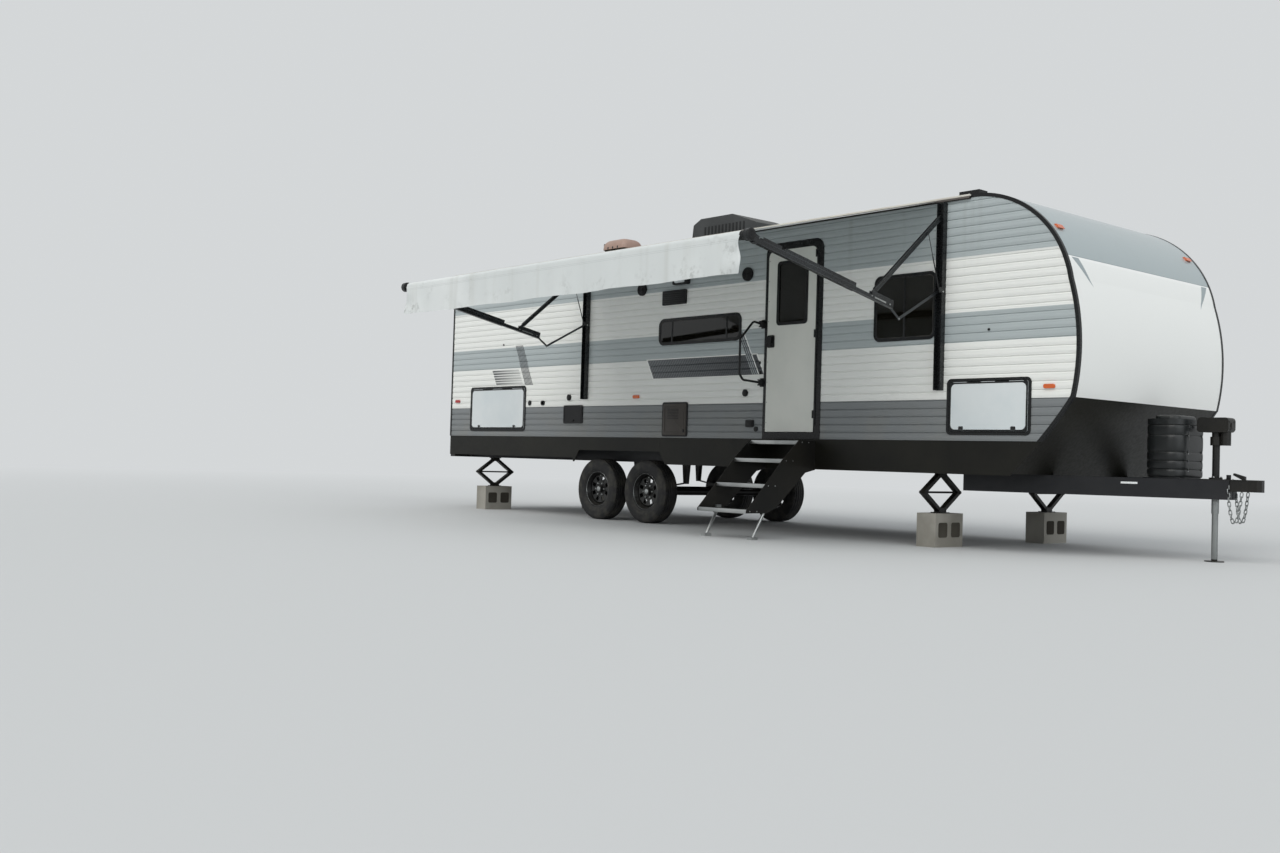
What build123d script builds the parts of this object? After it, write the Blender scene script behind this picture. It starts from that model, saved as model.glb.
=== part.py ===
from build123d import *
import os
from math import atan2, cos, degrees, hypot, radians, sin

# A two-axle travel caravan, parked with its awning out and its entry steps down.
# Sizes are millimetres. Every piece is drawn in yard coordinates:
#   s runs forward from the rear wall, y to the road side, h up from the ground.
# The door and the awning are on the kerb side, at negative y.
# placed() shifts the yard frame so that the origin is the centre of the coupler's ball.

# Driving sizes of the whole vehicle
BODY_HALF = 1220.0          # half the width over the siding
ROOF_EDGE = 3003.0          # roof edge above the ground
FLOOR_UNDER = 860.0         # underside of the cabin floor
SIDING_FOOT = 927.0         # lower edge of the siding
NOSE_LIP = 1279.0           # lower edge of the white front cap
SKIRT_FOOT = 645.0          # lower edge of the black skirt, ahead of the wheels
BALL_STATION = 9750.0       # coupler ball, forward of the rear wall
BALL_HEIGHT = 600.0         # coupler ball above the ground
SHELL = 40.0                # roof, floor, front and rear panels
WALL_CORE = 36.0            # framed side wall behind the siding
SIDING = 12.0               # ribbed siding over its ribs
GAP = 5.0                   # running gap round a moving panel
SEAT = 0.3                  # gap at which one piece rests on another

# Side outline of the body: flat roof, two nose arcs and the tucked-under belly arc
ROOF_END = (7960.0, ROOF_EDGE)
BROW = (8550.0, 2757.0)
CHEEK = (8850.0, 2220.0)
NOSE = (8932.0, 1700.0)
LIP = (8888.0, NOSE_LIP)
CHIN = (8608.0, 925.0)
BELLY = (8322.0, SKIRT_FOOT)

# Openings: start and end station, lower and upper height, corner radius
DOOR_FRAME = (5560.0, 6292.0, SIDING_FOOT, 2820.0, 100.0)
DOOR_SLAB = (5597.0, 6217.0, 995.0, 2750.0, 70.0)
DOOR_PANE = (5714.0, 6111.0, 2020.0, 2640.0, 40.0)
KERB_WINDOWS = [(6900.0, 7570.0, 1800.0, 2390.0, 70.0), (4008.0, 5237.0, 1903.0, 2187.0, 80.0)]
ROAD_WINDOWS = [(6900.0, 7570.0, 1800.0, 2390.0, 70.0), (4300.0, 5700.0, 1800.0, 2390.0, 70.0),
                (1250.0, 1860.0, 2000.0, 2390.0, 70.0)]
# Luggage doors: name, side, start, end, lower, upper
LUGGAGE = [("kerb_front", -1, 7703.0, 8515.0, 975.0, 1449.0),
           ("kerb_rear", -1, 458.0, 1642.0, 990.0, 1538.0),
           ("road_front", 1, 7703.0, 8515.0, 975.0, 1449.0)]
LUGGAGE_RADIUS = 45.0

# Running gear
HUB_STATIONS = (2896.0, 3717.0)
HUB_HEIGHT = 344.0
TYRE_RADIUS = 344.0
TYRE_WIDTH = 205.0
WHEEL_Y = BODY_HALF - 203   # middle of the tyre
RIM_RADIUS = 196.0
RAIL_Y = BODY_HALF - 360    # middle of a chassis rail
RAIL_FOOT = 660.0
AXLE_RADIUS = 38.0

# Awning, as distance out from the siding and height, in the plane of each arm
ARM_STATIONS = (2790.0, 7630.0)
PIVOT_TOP = (54.0, 2833.0)
PIVOT_MID = (35.0, 2195.0)
KNEE = (558.0, 1917.0)
ARM_HEEL = (700.0, 2014.0)
ELBOW = (938.0, 2091.0)
ROLLER = (2375.0, 2370.0)
STRUT_HEAD = (249.0, 2671.0)
STRUT_FOOT = (83.0, 2207.0)
ROLLER_RADIUS = 35.0
ARM_SLIDE = 200.0           # travel of the outer arm along the inner arm
CHANNEL_FOOT = 1354.0
CHANNEL_HEAD = 2962.0
RAIL_OUT = (17.0, 2985.0)   # awning rail at the roof edge


def placed(shape):
    """Move a piece from the yard frame to the part's own frame."""
    return Pos(-BALL_STATION, 0, -BALL_HEIGHT) * shape


def block(s, y, h):
    """A box from three (low, high) ranges."""
    return Pos((s[0] + s[1]) / 2, (y[0] + y[1]) / 2, (h[0] + h[1]) / 2) * Box(s[1] - s[0], y[1] - y[0], h[1] - h[0])


def side_plate(points, y0, y1):
    """A polygon of (s, h) points, extruded across from y0 to y1."""
    face = make_face(Polyline(*[(s, y0, h) for s, h in points], close=True))
    return extrude(face, amount=abs(y1 - y0), dir=(0, 1 if y1 > y0 else -1, 0))


def cross_plate(points, s0, s1):
    """A polygon of (y, h) points, extruded forward from s0 to s1."""
    face = make_face(Polyline(*[(s0, y, h) for y, h in points], close=True))
    return extrude(face, amount=s1 - s0, dir=(1, 0, 0))


def flat_plate(points, h0, h1):
    """A polygon of (s, y) points, extruded up from h0 to h1."""
    face = make_face(Polyline(*[(s, y, h0) for s, y in points], close=True))
    return extrude(face, amount=h1 - h0, dir=(0, 0, 1))


def rounded_side(s, h, radius, y0, y1):
    """A rounded rectangle in the side view, extruded from y0 to y1."""
    low, high = sorted((y0, y1))
    plane = Plane(origin=((s[0] + s[1]) / 2, low, (h[0] + h[1]) / 2), x_dir=(1, 0, 0), z_dir=(0, 1, 0))
    return extrude(plane * RectangleRounded(s[1] - s[0], h[1] - h[0], radius), amount=high - low)


def rod(start, end, radius):
    """A round bar between two points."""
    way = Vector(*end) - Vector(*start)
    return Solid.make_cylinder(radius, way.length, Plane(origin=start, z_dir=way))


def pipe(points, radii, radius):
    """A round tube along straight runs with arc bends."""
    path = FilletPolyline(*points, radius=radii)
    start = Plane(origin=path @ 0, z_dir=path % 0)
    return sweep(start * Circle(radius), path=path)


def side_y(side, depth):
    """The y of a plane, depth outward from the siding's outer face."""
    return side * (BODY_HALF + depth)


def mirrored(shape):
    """The same piece on the other side of the vehicle."""
    return mirror(shape, about=Plane.XZ)


# Body shell

def outline():
    """The whole side outline, down to the skirt's foot."""
    edges = [Line((0, 0, SKIRT_FOOT), (0, 0, ROOF_EDGE)),
             Line((0, 0, ROOF_EDGE), (ROOF_END[0], 0, ROOF_EDGE)),
             ThreePointArc((ROOF_END[0], 0, ROOF_END[1]), (BROW[0], 0, BROW[1]), (CHEEK[0], 0, CHEEK[1])),
             ThreePointArc((CHEEK[0], 0, CHEEK[1]), (NOSE[0], 0, NOSE[1]), (LIP[0], 0, LIP[1])),
             ThreePointArc((LIP[0], 0, LIP[1]), (CHIN[0], 0, CHIN[1]), (BELLY[0], 0, BELLY[1])),
             Line((BELLY[0], 0, BELLY[1]), (0, 0, SKIRT_FOOT))]
    return make_face(edges)


def slab_between(face, y0, y1):
    """Extrude a side-view face that lies at y = 0 to the range y0 to y1."""
    low, high = sorted((y0, y1))
    return Pos(0, low, 0) * extrude(face, amount=high - low, dir=(0, 1, 0))


LONG = BALL_STATION + 1000.0
SHELL_HALF = BODY_HALF - SIDING


def side_box(s, h):
    """A box right across the vehicle, for cutting by station and height."""
    return block(s, (-BODY_HALF * 2, BODY_HALF * 2), h)


def body_outline():
    return slab_between(outline(), -SHELL_HALF, SHELL_HALF) & side_box((-10, LONG), (FLOOR_UNDER, LONG))


def inner_outline():
    """The room inside roof, floor, front and rear panels, as a full-width solid."""
    face = offset(outline(), amount=-SHELL, kind=Kind.INTERSECTION)
    solid = slab_between(face, -SHELL_HALF, SHELL_HALF)
    return solid & side_box((-10, LONG), (FLOOR_UNDER + SHELL, LONG))


CROWN = 60.0                # rise of the roof at its middle
CROWN_INSET = 40.0          # the crown starts this far in from the siding
CROWN_HALF = BODY_HALF - CROWN_INSET
CROWN_FRONT = 7300.0        # from here the crown runs down to nothing


def roof_crown():
    """The bowed top of the roof, tapered off towards the nose."""
    back, front = SHELL, ROOF_END[0]
    arc = ThreePointArc((back, -CROWN_HALF, ROOF_EDGE), (back, 0, ROOF_EDGE + CROWN), (back, CROWN_HALF, ROOF_EDGE))
    base = Line((back, CROWN_HALF, ROOF_EDGE), (back, -CROWN_HALF, ROOF_EDGE))
    bow = extrude(make_face([arc, base]), amount=front - back, dir=(1, 0, 0))
    wedge = side_plate([(CROWN_FRONT, ROOF_EDGE + CROWN), (front + 1, ROOF_EDGE),
                        (front + 1, ROOF_EDGE + CROWN * 2), (CROWN_FRONT, ROOF_EDGE + CROWN * 2)],
                       -BODY_HALF, BODY_HALF)
    return bow - wedge


FLOOR_FRONT = 8440.0
PAN = 12.0                  # thickness of the belly pan below the floor
SKIRT_WALL = 12.0


def belly_room():
    """The space behind the belly pan, for the rails to end in."""
    return slab_between(offset(outline(), amount=-PAN, kind=Kind.INTERSECTION), -BODY_HALF, BODY_HALF)


def shell_panels():
    """Roof, front cap, nose underside, floor and rear wall, cut from one ring."""
    ring = body_outline() - inner_outline()
    roof = ring & side_box((-10, ROOF_END[0]), (ROOF_EDGE - SHELL, LONG))
    cap = ring & side_box((ROOF_END[0], LONG), (NOSE_LIP, LONG))
    nose = ring & side_box((FLOOR_FRONT, LONG), (FLOOR_UNDER, NOSE_LIP))
    pan_half = BODY_HALF - 6 - SKIRT_WALL
    pan = slab_between(outline(), -pan_half, pan_half) - belly_room()
    nose += pan & side_box((BELLY[0] - 60, LONG), (RAIL_FOOT, FLOOR_UNDER))
    floor = ring & side_box((-10, FLOOR_FRONT), (FLOOR_UNDER, FLOOR_UNDER + SHELL))
    rear = ring & side_box((-10, SHELL), (FLOOR_UNDER + SHELL, ROOF_EDGE - SHELL))
    return roof + roof_crown(), cap, nose, floor, rear


LAP = 69.8                  # height of one siding lap
GROOVE = 16.0
GROOVE_DEPTH = 7.0


def siding_sheet():
    """The kerb side's ribbed sheet, before its openings are cut."""
    points = [(-SHELL_HALF, SIDING_FOOT), (-BODY_HALF, SIDING_FOOT)]
    count = int((ROOF_EDGE - SIDING_FOOT) / LAP)
    for lap in range(1, count + 1):
        low = SIDING_FOOT + lap * LAP
        points += [(-BODY_HALF, low - GROOVE), (GROOVE_DEPTH - BODY_HALF, low - GROOVE / 3), (-BODY_HALF, low)]
    points += [(-BODY_HALF, ROOF_EDGE + 1), (-SHELL_HALF, ROOF_EDGE + 1)]
    sheet = cross_plate(points, 0, LONG)
    return sheet & slab_between(outline(), -BODY_HALF - 5, -SHELL_HALF)


def wall_core():
    """The kerb side's framed wall, before its openings are cut."""
    return inner_outline() & block((-10, LONG), (-SHELL_HALF, WALL_CORE - SHELL_HALF), (0, LONG))


FLANGE = 6.0                # frames stand this far out of the siding
FLANGE_WIDTH = 26.0
LINING = 10.0               # frame lining through the wall


def cut_through(opening, side):
    s0, s1, h0, h1, radius = opening
    return rounded_side((s0, s1), (h0, h1), radius, side_y(side, 20), side_y(side, -SIDING - WALL_CORE - 20))


def shrink(opening, by):
    s0, s1, h0, h1, radius = opening
    return (s0 + by, s1 - by, h0 + by, h1 - by, max(radius - by, 6.0))


def prism(opening, side, out, depth):
    """The opening's rounded outline between two depths from the siding."""
    s0, s1, h0, h1, radius = opening
    return rounded_side((s0, s1), (h0, h1), radius, side_y(side, out), side_y(side, depth))


WALL_INSIDE = -SIDING - WALL_CORE


def window_frame(opening, side):
    """Flange on the siding and lining through the wall, for a fixed window."""
    wall_cut = shrink(opening, FLANGE_WIDTH - LINING)
    clear = shrink(opening, FLANGE_WIDTH)
    flange = prism(opening, side, FLANGE, 0) - prism(clear, side, FLANGE + 1, -1)
    lining = prism(wall_cut, side, 0, WALL_INSIDE) - prism(clear, side, 1, WALL_INSIDE - 1)
    return flange + lining


def window_pane(opening, side):
    return prism(shrink(opening, FLANGE_WIDTH), side, 2, -4)


def luggage_opening(row):
    name, side, s0, s1, h0, h1 = row
    return (s0, s1, h0, h1, LUGGAGE_RADIUS)


def wall_cuts(side):
    """The holes that windows, door and luggage doors need in one side."""
    cuts = []
    windows = KERB_WINDOWS if side < 0 else ROAD_WINDOWS
    cuts += [shrink(w, FLANGE_WIDTH - LINING) for w in windows]
    cuts += [shrink(luggage_opening(row), LUGGAGE_FLANGE - LINING) for row in LUGGAGE if row[1] == side]
    return cuts


DOOR_EDGE = 12.0


def door_lining():
    """Outline of the door frame's lining, and of the hole in the wall."""
    s0, s1, h0, h1, radius = DOOR_FRAME
    return (s0 + DOOR_EDGE, s1 - DOOR_EDGE, h0, h1 - DOOR_EDGE, radius - DOOR_EDGE)


LUGGAGE_FLANGE = 24.0
SLAB_FACE = 7.0             # a door's face stands this far out of the siding
SLAB_BACK = -31.0           # and its back lies this far in


def hinge(start, end, side, leaf_way, knuckles):
    """Split a hinge into fixed and moving knuckles along a line.

    leaf_way is the unit (s, h) direction from the barrel to the moving slab."""
    radius = 5.0
    axis = Vector(*start)
    way = Vector(*end) - axis
    step = way.length / knuckles
    unit = way.normalized()
    moving, fixed = [], []
    for index in range(knuckles):
        a = axis + unit * (index * step + 0.5)
        b = axis + unit * ((index + 1) * step - 0.5)
        barrel = rod(tuple(a), tuple(b), radius)
        out_low, out_high = sorted((side_y(side, FLANGE + 0.5), side_y(side, FLANGE + 2.5)))
        if index % 2 == 0:
            reach = HINGE_REACH + 4
            s = sorted((a.X, b.X + leaf_way[0] * reach)) if leaf_way[0] else (a.X, b.X)
            h = sorted((a.Z, b.Z + leaf_way[1] * reach)) if leaf_way[1] else (a.Z, b.Z)
            moving.append(barrel + block(s, (out_low, out_high), h))
        else:
            low, high = sorted((side_y(side, FLANGE - 0.5), side_y(side, HINGE_OUT)))
            s = (a.X - radius, a.X + radius) if leaf_way[0] else (a.X, b.X)
            h = (a.Z - radius, a.Z + radius) if leaf_way[1] else (a.Z, b.Z)
            fixed.append(barrel + block(s, (low, high), h))
    return moving, fixed


HINGE_OUT = FLANGE + 5.5    # hinge axis, out from the siding
HINGE_REACH = 12.0          # and its distance from the slab's edge


def door_prism(opening, out, depth):
    """A kerb-side door outline: rounded at its top corners, square at its foot."""
    s0, s1, h0, h1, radius = opening
    low, high = sorted((side_y(-1, out), side_y(-1, depth)))
    return prism(opening, -1, out, depth) + block((s0, s1), (low, high), (h0, h0 + radius + 10))


def entry_door():
    """Slab with its lap, handle and window hole; its frame; its pane."""
    side = -1
    s0, s1, h0, h1, radius = DOOR_SLAB
    slab = door_prism(DOOR_SLAB, SLAB_FACE, SLAB_BACK)
    slab -= prism(shrink(DOOR_PANE, FLANGE_WIDTH / 2), side, 30, -60)
    pane_frame = prism(DOOR_PANE, side, SLAB_FACE + 5, SLAB_FACE)
    pane_frame -= prism(shrink(DOOR_PANE, FLANGE_WIDTH - 2), side, 30, -60)
    pane = prism(shrink(DOOR_PANE, FLANGE_WIDTH / 2), side, SLAB_FACE - 4, SLAB_FACE - 10)
    hinge_s = s1 + HINGE_REACH
    y = side_y(side, HINGE_OUT)
    moving, fixed = hinge((hinge_s, y, h0 + 60), (hinge_s, y, h1 - 90), side, (-1, 0), 7)
    for knuckle in moving:
        slab += knuckle
    hole = (s0 - GAP, s1 + GAP, h0 - GAP, h1 + GAP, radius)
    frame = door_prism(DOOR_FRAME, FLANGE, 0) + door_prism(door_lining(), 0, WALL_INSIDE)
    frame -= door_prism(hole, 30, WALL_INSIDE - 30)
    stop = door_prism(hole, SLAB_BACK - 3, WALL_INSIDE)
    stop -= door_prism(shrink(hole, 14), 30, WALL_INSIDE - 30)
    frame += stop
    for knuckle in fixed:
        frame += knuckle
    return slab, pane_frame, pane, frame


DOOR_LATCH = (5650.0, 1870.0)   # middle of the door's latch plate


def door_latch():
    s, h = DOOR_LATCH
    plate = rounded_side((s - 44, s + 44), (h - 60, h + 60), 14, side_y(-1, SLAB_FACE), side_y(-1, SLAB_FACE + 10))
    paddle = rounded_side((s - 30, s + 24), (h - 18, h + 46), 8, side_y(-1, SLAB_FACE + 10), side_y(-1, SLAB_FACE + 32))
    bolt = rounded_side((s - 14, s + 14), (h - 48, h - 26), 8, side_y(-1, SLAB_FACE + 10), side_y(-1, SLAB_FACE + 18))
    return plate + paddle + bolt


def luggage_door(row):
    """One top-hinged luggage door: the moving slab and the fixed frame."""
    name, side, s0, s1, h0, h1 = row
    opening = luggage_opening(row)
    hole = shrink(opening, LUGGAGE_FLANGE)
    lining = shrink(opening, LUGGAGE_FLANGE - LINING)
    frame = prism(opening, side, FLANGE, 0) + prism(lining, side, 0, WALL_INSIDE)
    frame -= prism(hole, side, 30, WALL_INSIDE - 30)
    slab_size = shrink(hole, GAP)
    slab = prism(slab_size, side, SLAB_FACE, SLAB_BACK)
    hinge_h = slab_size[3] + HINGE_REACH
    y = side_y(side, HINGE_OUT)
    moving, fixed = hinge((slab_size[0] + 40, y, hinge_h), (slab_size[1] - 40, y, hinge_h), side, (0, -1), 5)
    for knuckle in moving:
        slab += knuckle
    for knuckle in fixed:
        frame += knuckle
    third = (slab_size[1] - slab_size[0]) / 3
    for s in (slab_size[0] + third / 2, slab_size[1] - third / 2):
        slab += rounded_side((s - 24, s + 24), (slab_size[2] + 12, slab_size[2] + 44), 8,
                             side_y(side, SLAB_FACE - 1), side_y(side, SLAB_FACE + 9))
    return slab, frame


# Lower body

ARCH = (2560.0, 4180.0, 2690.0, 4060.0, 778.0)   # foot start, foot end, top start, top end, top


PANEL_JOINT = 0.8           # gap between two lengths of skirt


def skirt():
    """The kerb side's black skirt in three lengths, cut by the wheel arch."""
    outer = 6.0 - BODY_HALF
    profile = [(-SHELL_HALF, SIDING_FOOT), (outer, SIDING_FOOT), (outer, SKIRT_FOOT),
               (outer + SKIRT_WALL, SKIRT_FOOT), (outer + SKIRT_WALL, FLOOR_UNDER), (-SHELL_HALF, FLOOR_UNDER)]
    sheet = cross_plate(profile, 0, LONG) & slab_between(outline(), -BODY_HALF - 5, 0)
    foot0, foot1, top0, top1, top = ARCH
    low = SKIRT_FOOT - 45
    across = (-BODY_HALF - 20, -RAIL_Y - 140)
    arch = side_plate([(foot0, low), (top0, top), (top1, top), (foot1, low)], *across)
    sheet -= arch
    sheet -= block((-10, foot0 + 20), across, (low, SKIRT_FOOT + 45))
    stations = [-10, top0 - PANEL_JOINT, top1 + PANEL_JOINT, LONG]
    return [sheet & block((a + PANEL_JOINT / 2, b - PANEL_JOINT / 2), across, (0, LONG))
            for a, b in zip(stations, stations[1:])]


def rails():
    """Two I-beam main rails, cut to the belly's slope at the front."""
    half, web, cap = 40.0, 4.0, 8.0
    top = FLOOR_UNDER
    profile = [(-half, RAIL_FOOT), (half, RAIL_FOOT), (half, RAIL_FOOT + cap), (web, RAIL_FOOT + cap),
               (web, top - cap), (half, top - cap), (half, top), (-half, top), (-half, top - cap),
               (-web, top - cap), (-web, RAIL_FOOT + cap), (-half, RAIL_FOOT + cap)]
    room = belly_room()
    beams = []
    for side in (-1, 1):
        beams.append(cross_plate([(y + side * RAIL_Y, h) for y, h in profile], 0, LONG) & room)
    return beams


CROSS_STATIONS = [120.0, 940.0, 1760.0, 2330.0, 3306.0, 4360.0, 5180.0, 6000.0, 6820.0, 7640.0, 8280.0]
CROSS_HEIGHT = 100.0


def cross_members():
    """Channels between the rails, opening downward."""
    half = RAIL_Y - 4
    pieces = []
    for s in CROSS_STATIONS:
        low = FLOOR_UNDER - CROSS_HEIGHT - 8
        pieces.append(block((s - 25, s + 25), (-half, half), (low, FLOOR_UNDER - 8)))
    return pieces


OUTRIGGER_STATIONS = [300.0, 1300.0, 2200.0, 4500.0, 5450.0, 6500.0, 7300.0, 8200.0]


def outriggers():
    """Tapered brackets from each rail out to the skirt."""
    pieces = []
    inner, outer = RAIL_Y + 40, BODY_HALF - 18 - SEAT
    for s in OUTRIGGER_STATIONS:
        for side in (-1, 1):
            points = [(side * inner, FLOOR_UNDER), (side * outer, FLOOR_UNDER),
                      (side * outer, FLOOR_UNDER - 60), (side * inner, RAIL_FOOT + 30)]
            pieces.append(cross_plate(points, s - 3, s + 3))
    return pieces


BEAM_HEIGHT = 155.0
BEAM_WIDTH = 60.0
COUPLER_BACK = 160.0        # from the ball back to where the two tongue beams meet
TONGUE_TIP = BALL_STATION - COUPLER_BACK
TONGUE_ANGLE = 25.0
TONGUE_LENGTH = 1890.0      # measured along the vehicle
TONGUE_BACK = TONGUE_TIP - TONGUE_LENGTH


def tongue_beams():
    """The A-frame's two beams, under the main rails."""
    low, high = RAIL_FOOT - BEAM_HEIGHT, RAIL_FOOT
    way = radians(TONGUE_ANGLE)
    pieces = []
    for side in (-1, 1):
        y_back = (TONGUE_TIP - TONGUE_BACK) * sin(way) / cos(way)
        inner = [(TONGUE_TIP, side * 5.0), (TONGUE_BACK, side * (y_back + 5.0))]
        across = BEAM_WIDTH / cos(way)
        points = inner + [(TONGUE_BACK, side * (y_back + 5.0 + across)), (TONGUE_TIP, side * (5.0 + across))]
        pieces.append(flat_plate(points, low, high))
    return pieces


def hitch_cross():
    """The angle across the A-frame that carries the gas bottle tray."""
    tray = block((LP_BACK, LP_FRONT), (-LP_HALF, LP_HALF), (RAIL_FOOT, RAIL_FOOT + 8))
    return tray


LP_GAP = 62.0               # from the cap's lip to the gas cover
LP_DEPTH = 312.0
LP_BACK = LIP[0] + LP_GAP
LP_FRONT = LP_BACK + LP_DEPTH
LP_HALF = 235.0
LP_TOP = 1150.0
LP_ROUND = 110.0
LP_LID = 8.0                # how far the lid stands out
LP_WALL = 5.0


def gas_cover():
    """Ribbed two-part plastic cover over the gas bottles, open underneath."""
    mid = (LP_BACK + LP_FRONT) / 2
    base = RAIL_FOOT + 8
    size = (LP_FRONT - LP_BACK, LP_HALF * 2)

    def skin(shrink_by, top):
        low = Pos(mid, 0, base) * RectangleRounded(size[0] - shrink_by * 2, size[1] - shrink_by * 2, LP_ROUND - shrink_by)
        return extrude(low, amount=top - base, dir=(0, 0, 1))

    body = skin(6, LP_TOP - 14)
    for index in range(5):
        h = base + 40 + index * 84
        ring = Pos(mid, 0, h) * RectangleRounded(size[0], size[1], LP_ROUND)
        body += extrude(ring, amount=52, dir=(0, 0, 1))
    lid = Pos(mid, 0, LP_TOP - 46) * RectangleRounded(size[0] + LP_LID * 2, size[1] + LP_LID * 2, LP_ROUND + LP_LID)
    body += extrude(lid, amount=46, dir=(0, 0, 1))
    body -= Pos(0, 0, -1) * skin(12, LP_TOP - 10)
    handle = block((mid - 60, mid + 60), (-18, 18), (LP_TOP, LP_TOP + 36))
    handle -= block((mid - 42, mid + 42), (-19, 19), (LP_TOP, LP_TOP + 20))
    return body + handle


SOCKET_RADIUS = 29.8
SOCKET_LIP = BALL_HEIGHT - 28
COUPLER_NOSE = 78.0         # from the ball forward to the coupler's tip
COUPLER_TIP = BALL_STATION + COUPLER_NOSE


def coupler():
    """A-frame coupler: two cheeks that lap the beams, a domed socket and its latch."""
    back = TONGUE_TIP - 190
    way = radians(TONGUE_ANGLE)
    spread = (TONGUE_TIP - back) * sin(way) / cos(way)
    web = flat_plate([(back, -spread - 2), (TONGUE_TIP, -2), (TONGUE_TIP, 2), (back, spread + 2)],
                     RAIL_FOOT, RAIL_FOOT + 5)
    top = flat_plate([(back, -spread - 66), (TONGUE_TIP + 10, -66), (BALL_STATION, -46), (COUPLER_TIP - 30, -46),
                      (COUPLER_TIP, -24), (COUPLER_TIP, 24), (COUPLER_TIP - 30, 46), (BALL_STATION, 46),
                      (TONGUE_TIP + 10, 66), (back, spread + 66)], RAIL_FOOT, RAIL_FOOT + 8)
    neck = flat_plate([(TONGUE_TIP, -60), (BALL_STATION - 20, -46), (COUPLER_TIP - 30, -46), (COUPLER_TIP, -24),
                       (COUPLER_TIP, 24), (COUPLER_TIP - 30, 46), (BALL_STATION - 20, 46), (TONGUE_TIP, 60)],
                      SOCKET_LIP, RAIL_FOOT)
    body = web + top + neck
    body -= Solid.make_cylinder(SOCKET_RADIUS, BALL_HEIGHT + 2 - SOCKET_LIP + 5,
                                Plane(origin=(BALL_STATION, 0, SOCKET_LIP - 5)))
    body -= Pos(BALL_STATION, 0, BALL_HEIGHT + 2) * Sphere(SOCKET_RADIUS)
    body -= Solid.make_cylinder(JACK_TUBE + SEAT, 400, Plane(origin=(JACK_STATION, 0, 400)))
    latch = side_plate([(BALL_STATION - 60, RAIL_FOOT + 8), (BALL_STATION - 60, RAIL_FOOT + 34),
                        (BALL_STATION - 150, RAIL_FOOT + 60), (BALL_STATION - 156, RAIL_FOOT + 44),
                        (BALL_STATION - 84, RAIL_FOOT + 8)], -14, 14)
    return body + latch


JACK_BACK = 140.0           # from the beams' meeting point back to the jack
JACK_STATION = TONGUE_TIP - JACK_BACK
JACK_TUBE = 28.5


def tongue_jack():
    """Powered tongue jack: foot, two tubes and the motor head."""
    s = JACK_STATION
    foot = Solid.make_cylinder(75, 8, Plane(origin=(s, 0, 0)))
    inner = Solid.make_cylinder(24, 470, Plane(origin=(s, 0, 8)))
    flange = Solid.make_cylinder(52, 12, Plane(origin=(s, 0, RAIL_FOOT + 8)))
    outer = Solid.make_cylinder(JACK_TUBE, 1000 - 390, Plane(origin=(s, 0, 390)))
    gear = Solid.make_cylinder(46, 70, Plane(origin=(s, 0, 940)))
    head = rounded_side((s - 135, s + 125), (1046, 1165), 30, -62, 62)
    motor = Solid.make_cylinder(40, 110, Plane(origin=(s + 76, 0, 940)))
    neck = Solid.make_cylinder(34, 46, Plane(origin=(s, 0, 1004)))
    lamp = block((s + 125, s + 131), (-20, 20), (1080, 1120))
    return foot + inner + flange + outer + gear + neck + head + motor + lamp


def jack_plate():
    """Gusset plate across the two beams behind the coupler, bored for the jack."""
    back = JACK_STATION - 110
    way = radians(TONGUE_ANGLE)
    wide = (TONGUE_TIP - back) * sin(way) / cos(way)
    plate = flat_plate([(back, -wide), (TONGUE_TIP - 190, -wide + 50), (TONGUE_TIP - 190, wide - 50), (back, wide)],
                       RAIL_FOOT, RAIL_FOOT + 8)
    return plate


# Stabilising jacks and the blocks under them

STAND_STATIONS = (520.0, 7400.0)
BLOCK_SIZE = (200.0, 400.0, 295.0)
STAND_SPREAD = 255.0        # from the stand's middle out to an elbow
STAND_PIVOT = 30.0          # and to an arm's pivot in its bracket
STAND_ARM = 16.0            # half depth of an arm
STAND_LANE = 26.0           # half the width between a bracket's cheeks
STAND_CHEEK = 4.0
STAND_SCREW = 9.0
STAND_BARREL = 14.0
BRACKET_DEPTH = 46.0


def stand_bracket(s, y, face, way, half, reach):
    """A plate with two cheeks, from face up (way 1) or down (way -1)."""
    def level(a, b):
        return tuple(sorted((face + way * a, face + way * b)))

    plate = block((s - half, s + half), (y - reach, y + reach), level(0, 8))
    for side in (-1, 1):
        lane = tuple(sorted((s + side * STAND_LANE, s + side * (STAND_LANE + STAND_CHEEK))))
        plate += block(lane, (y - 50, y + 50), level(7, BRACKET_DEPTH))
    return plate


def stand_arm(s, y, side, pivot_h, mid):
    """One arm of the scissor, from its bracket out to the elbow."""
    start = (y + side * STAND_PIVOT, pivot_h)
    end = (y + side * STAND_SPREAD, mid)
    away = hypot(end[0] - start[0], end[1] - start[1])
    uy, uh = (end[0] - start[0]) / away, (end[1] - start[1]) / away
    end = (end[0] + uy * STAND_ARM, end[1] + uh * STAND_ARM)
    ny, nh = -uh * STAND_ARM, uy * STAND_ARM
    half = STAND_LANE - SEAT
    bar = cross_plate([(start[0] + ny, start[1] + nh), (end[0] + ny, end[1] + nh), (end[0] - ny, end[1] - nh),
                       (start[0] - ny, start[1] - nh)], s - half, s + half)
    up = 1 if pivot_h > mid else -1
    keep = tuple(sorted((mid + up * SEAT, pivot_h + up * STAND_ARM * 2)))
    bar &= block((s - half, s + half), (y - STAND_SPREAD * 2, y + STAND_SPREAD * 2), keep)
    elbow = y + side * STAND_SPREAD
    bar -= rod((s - half - 1, elbow, mid), (s + half + 1, elbow, mid), STAND_BARREL + SEAT)
    return bar - rod((s, y - STAND_SPREAD * 2, mid), (s, y + STAND_SPREAD * 2, mid), STAND_SCREW + SEAT)


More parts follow.
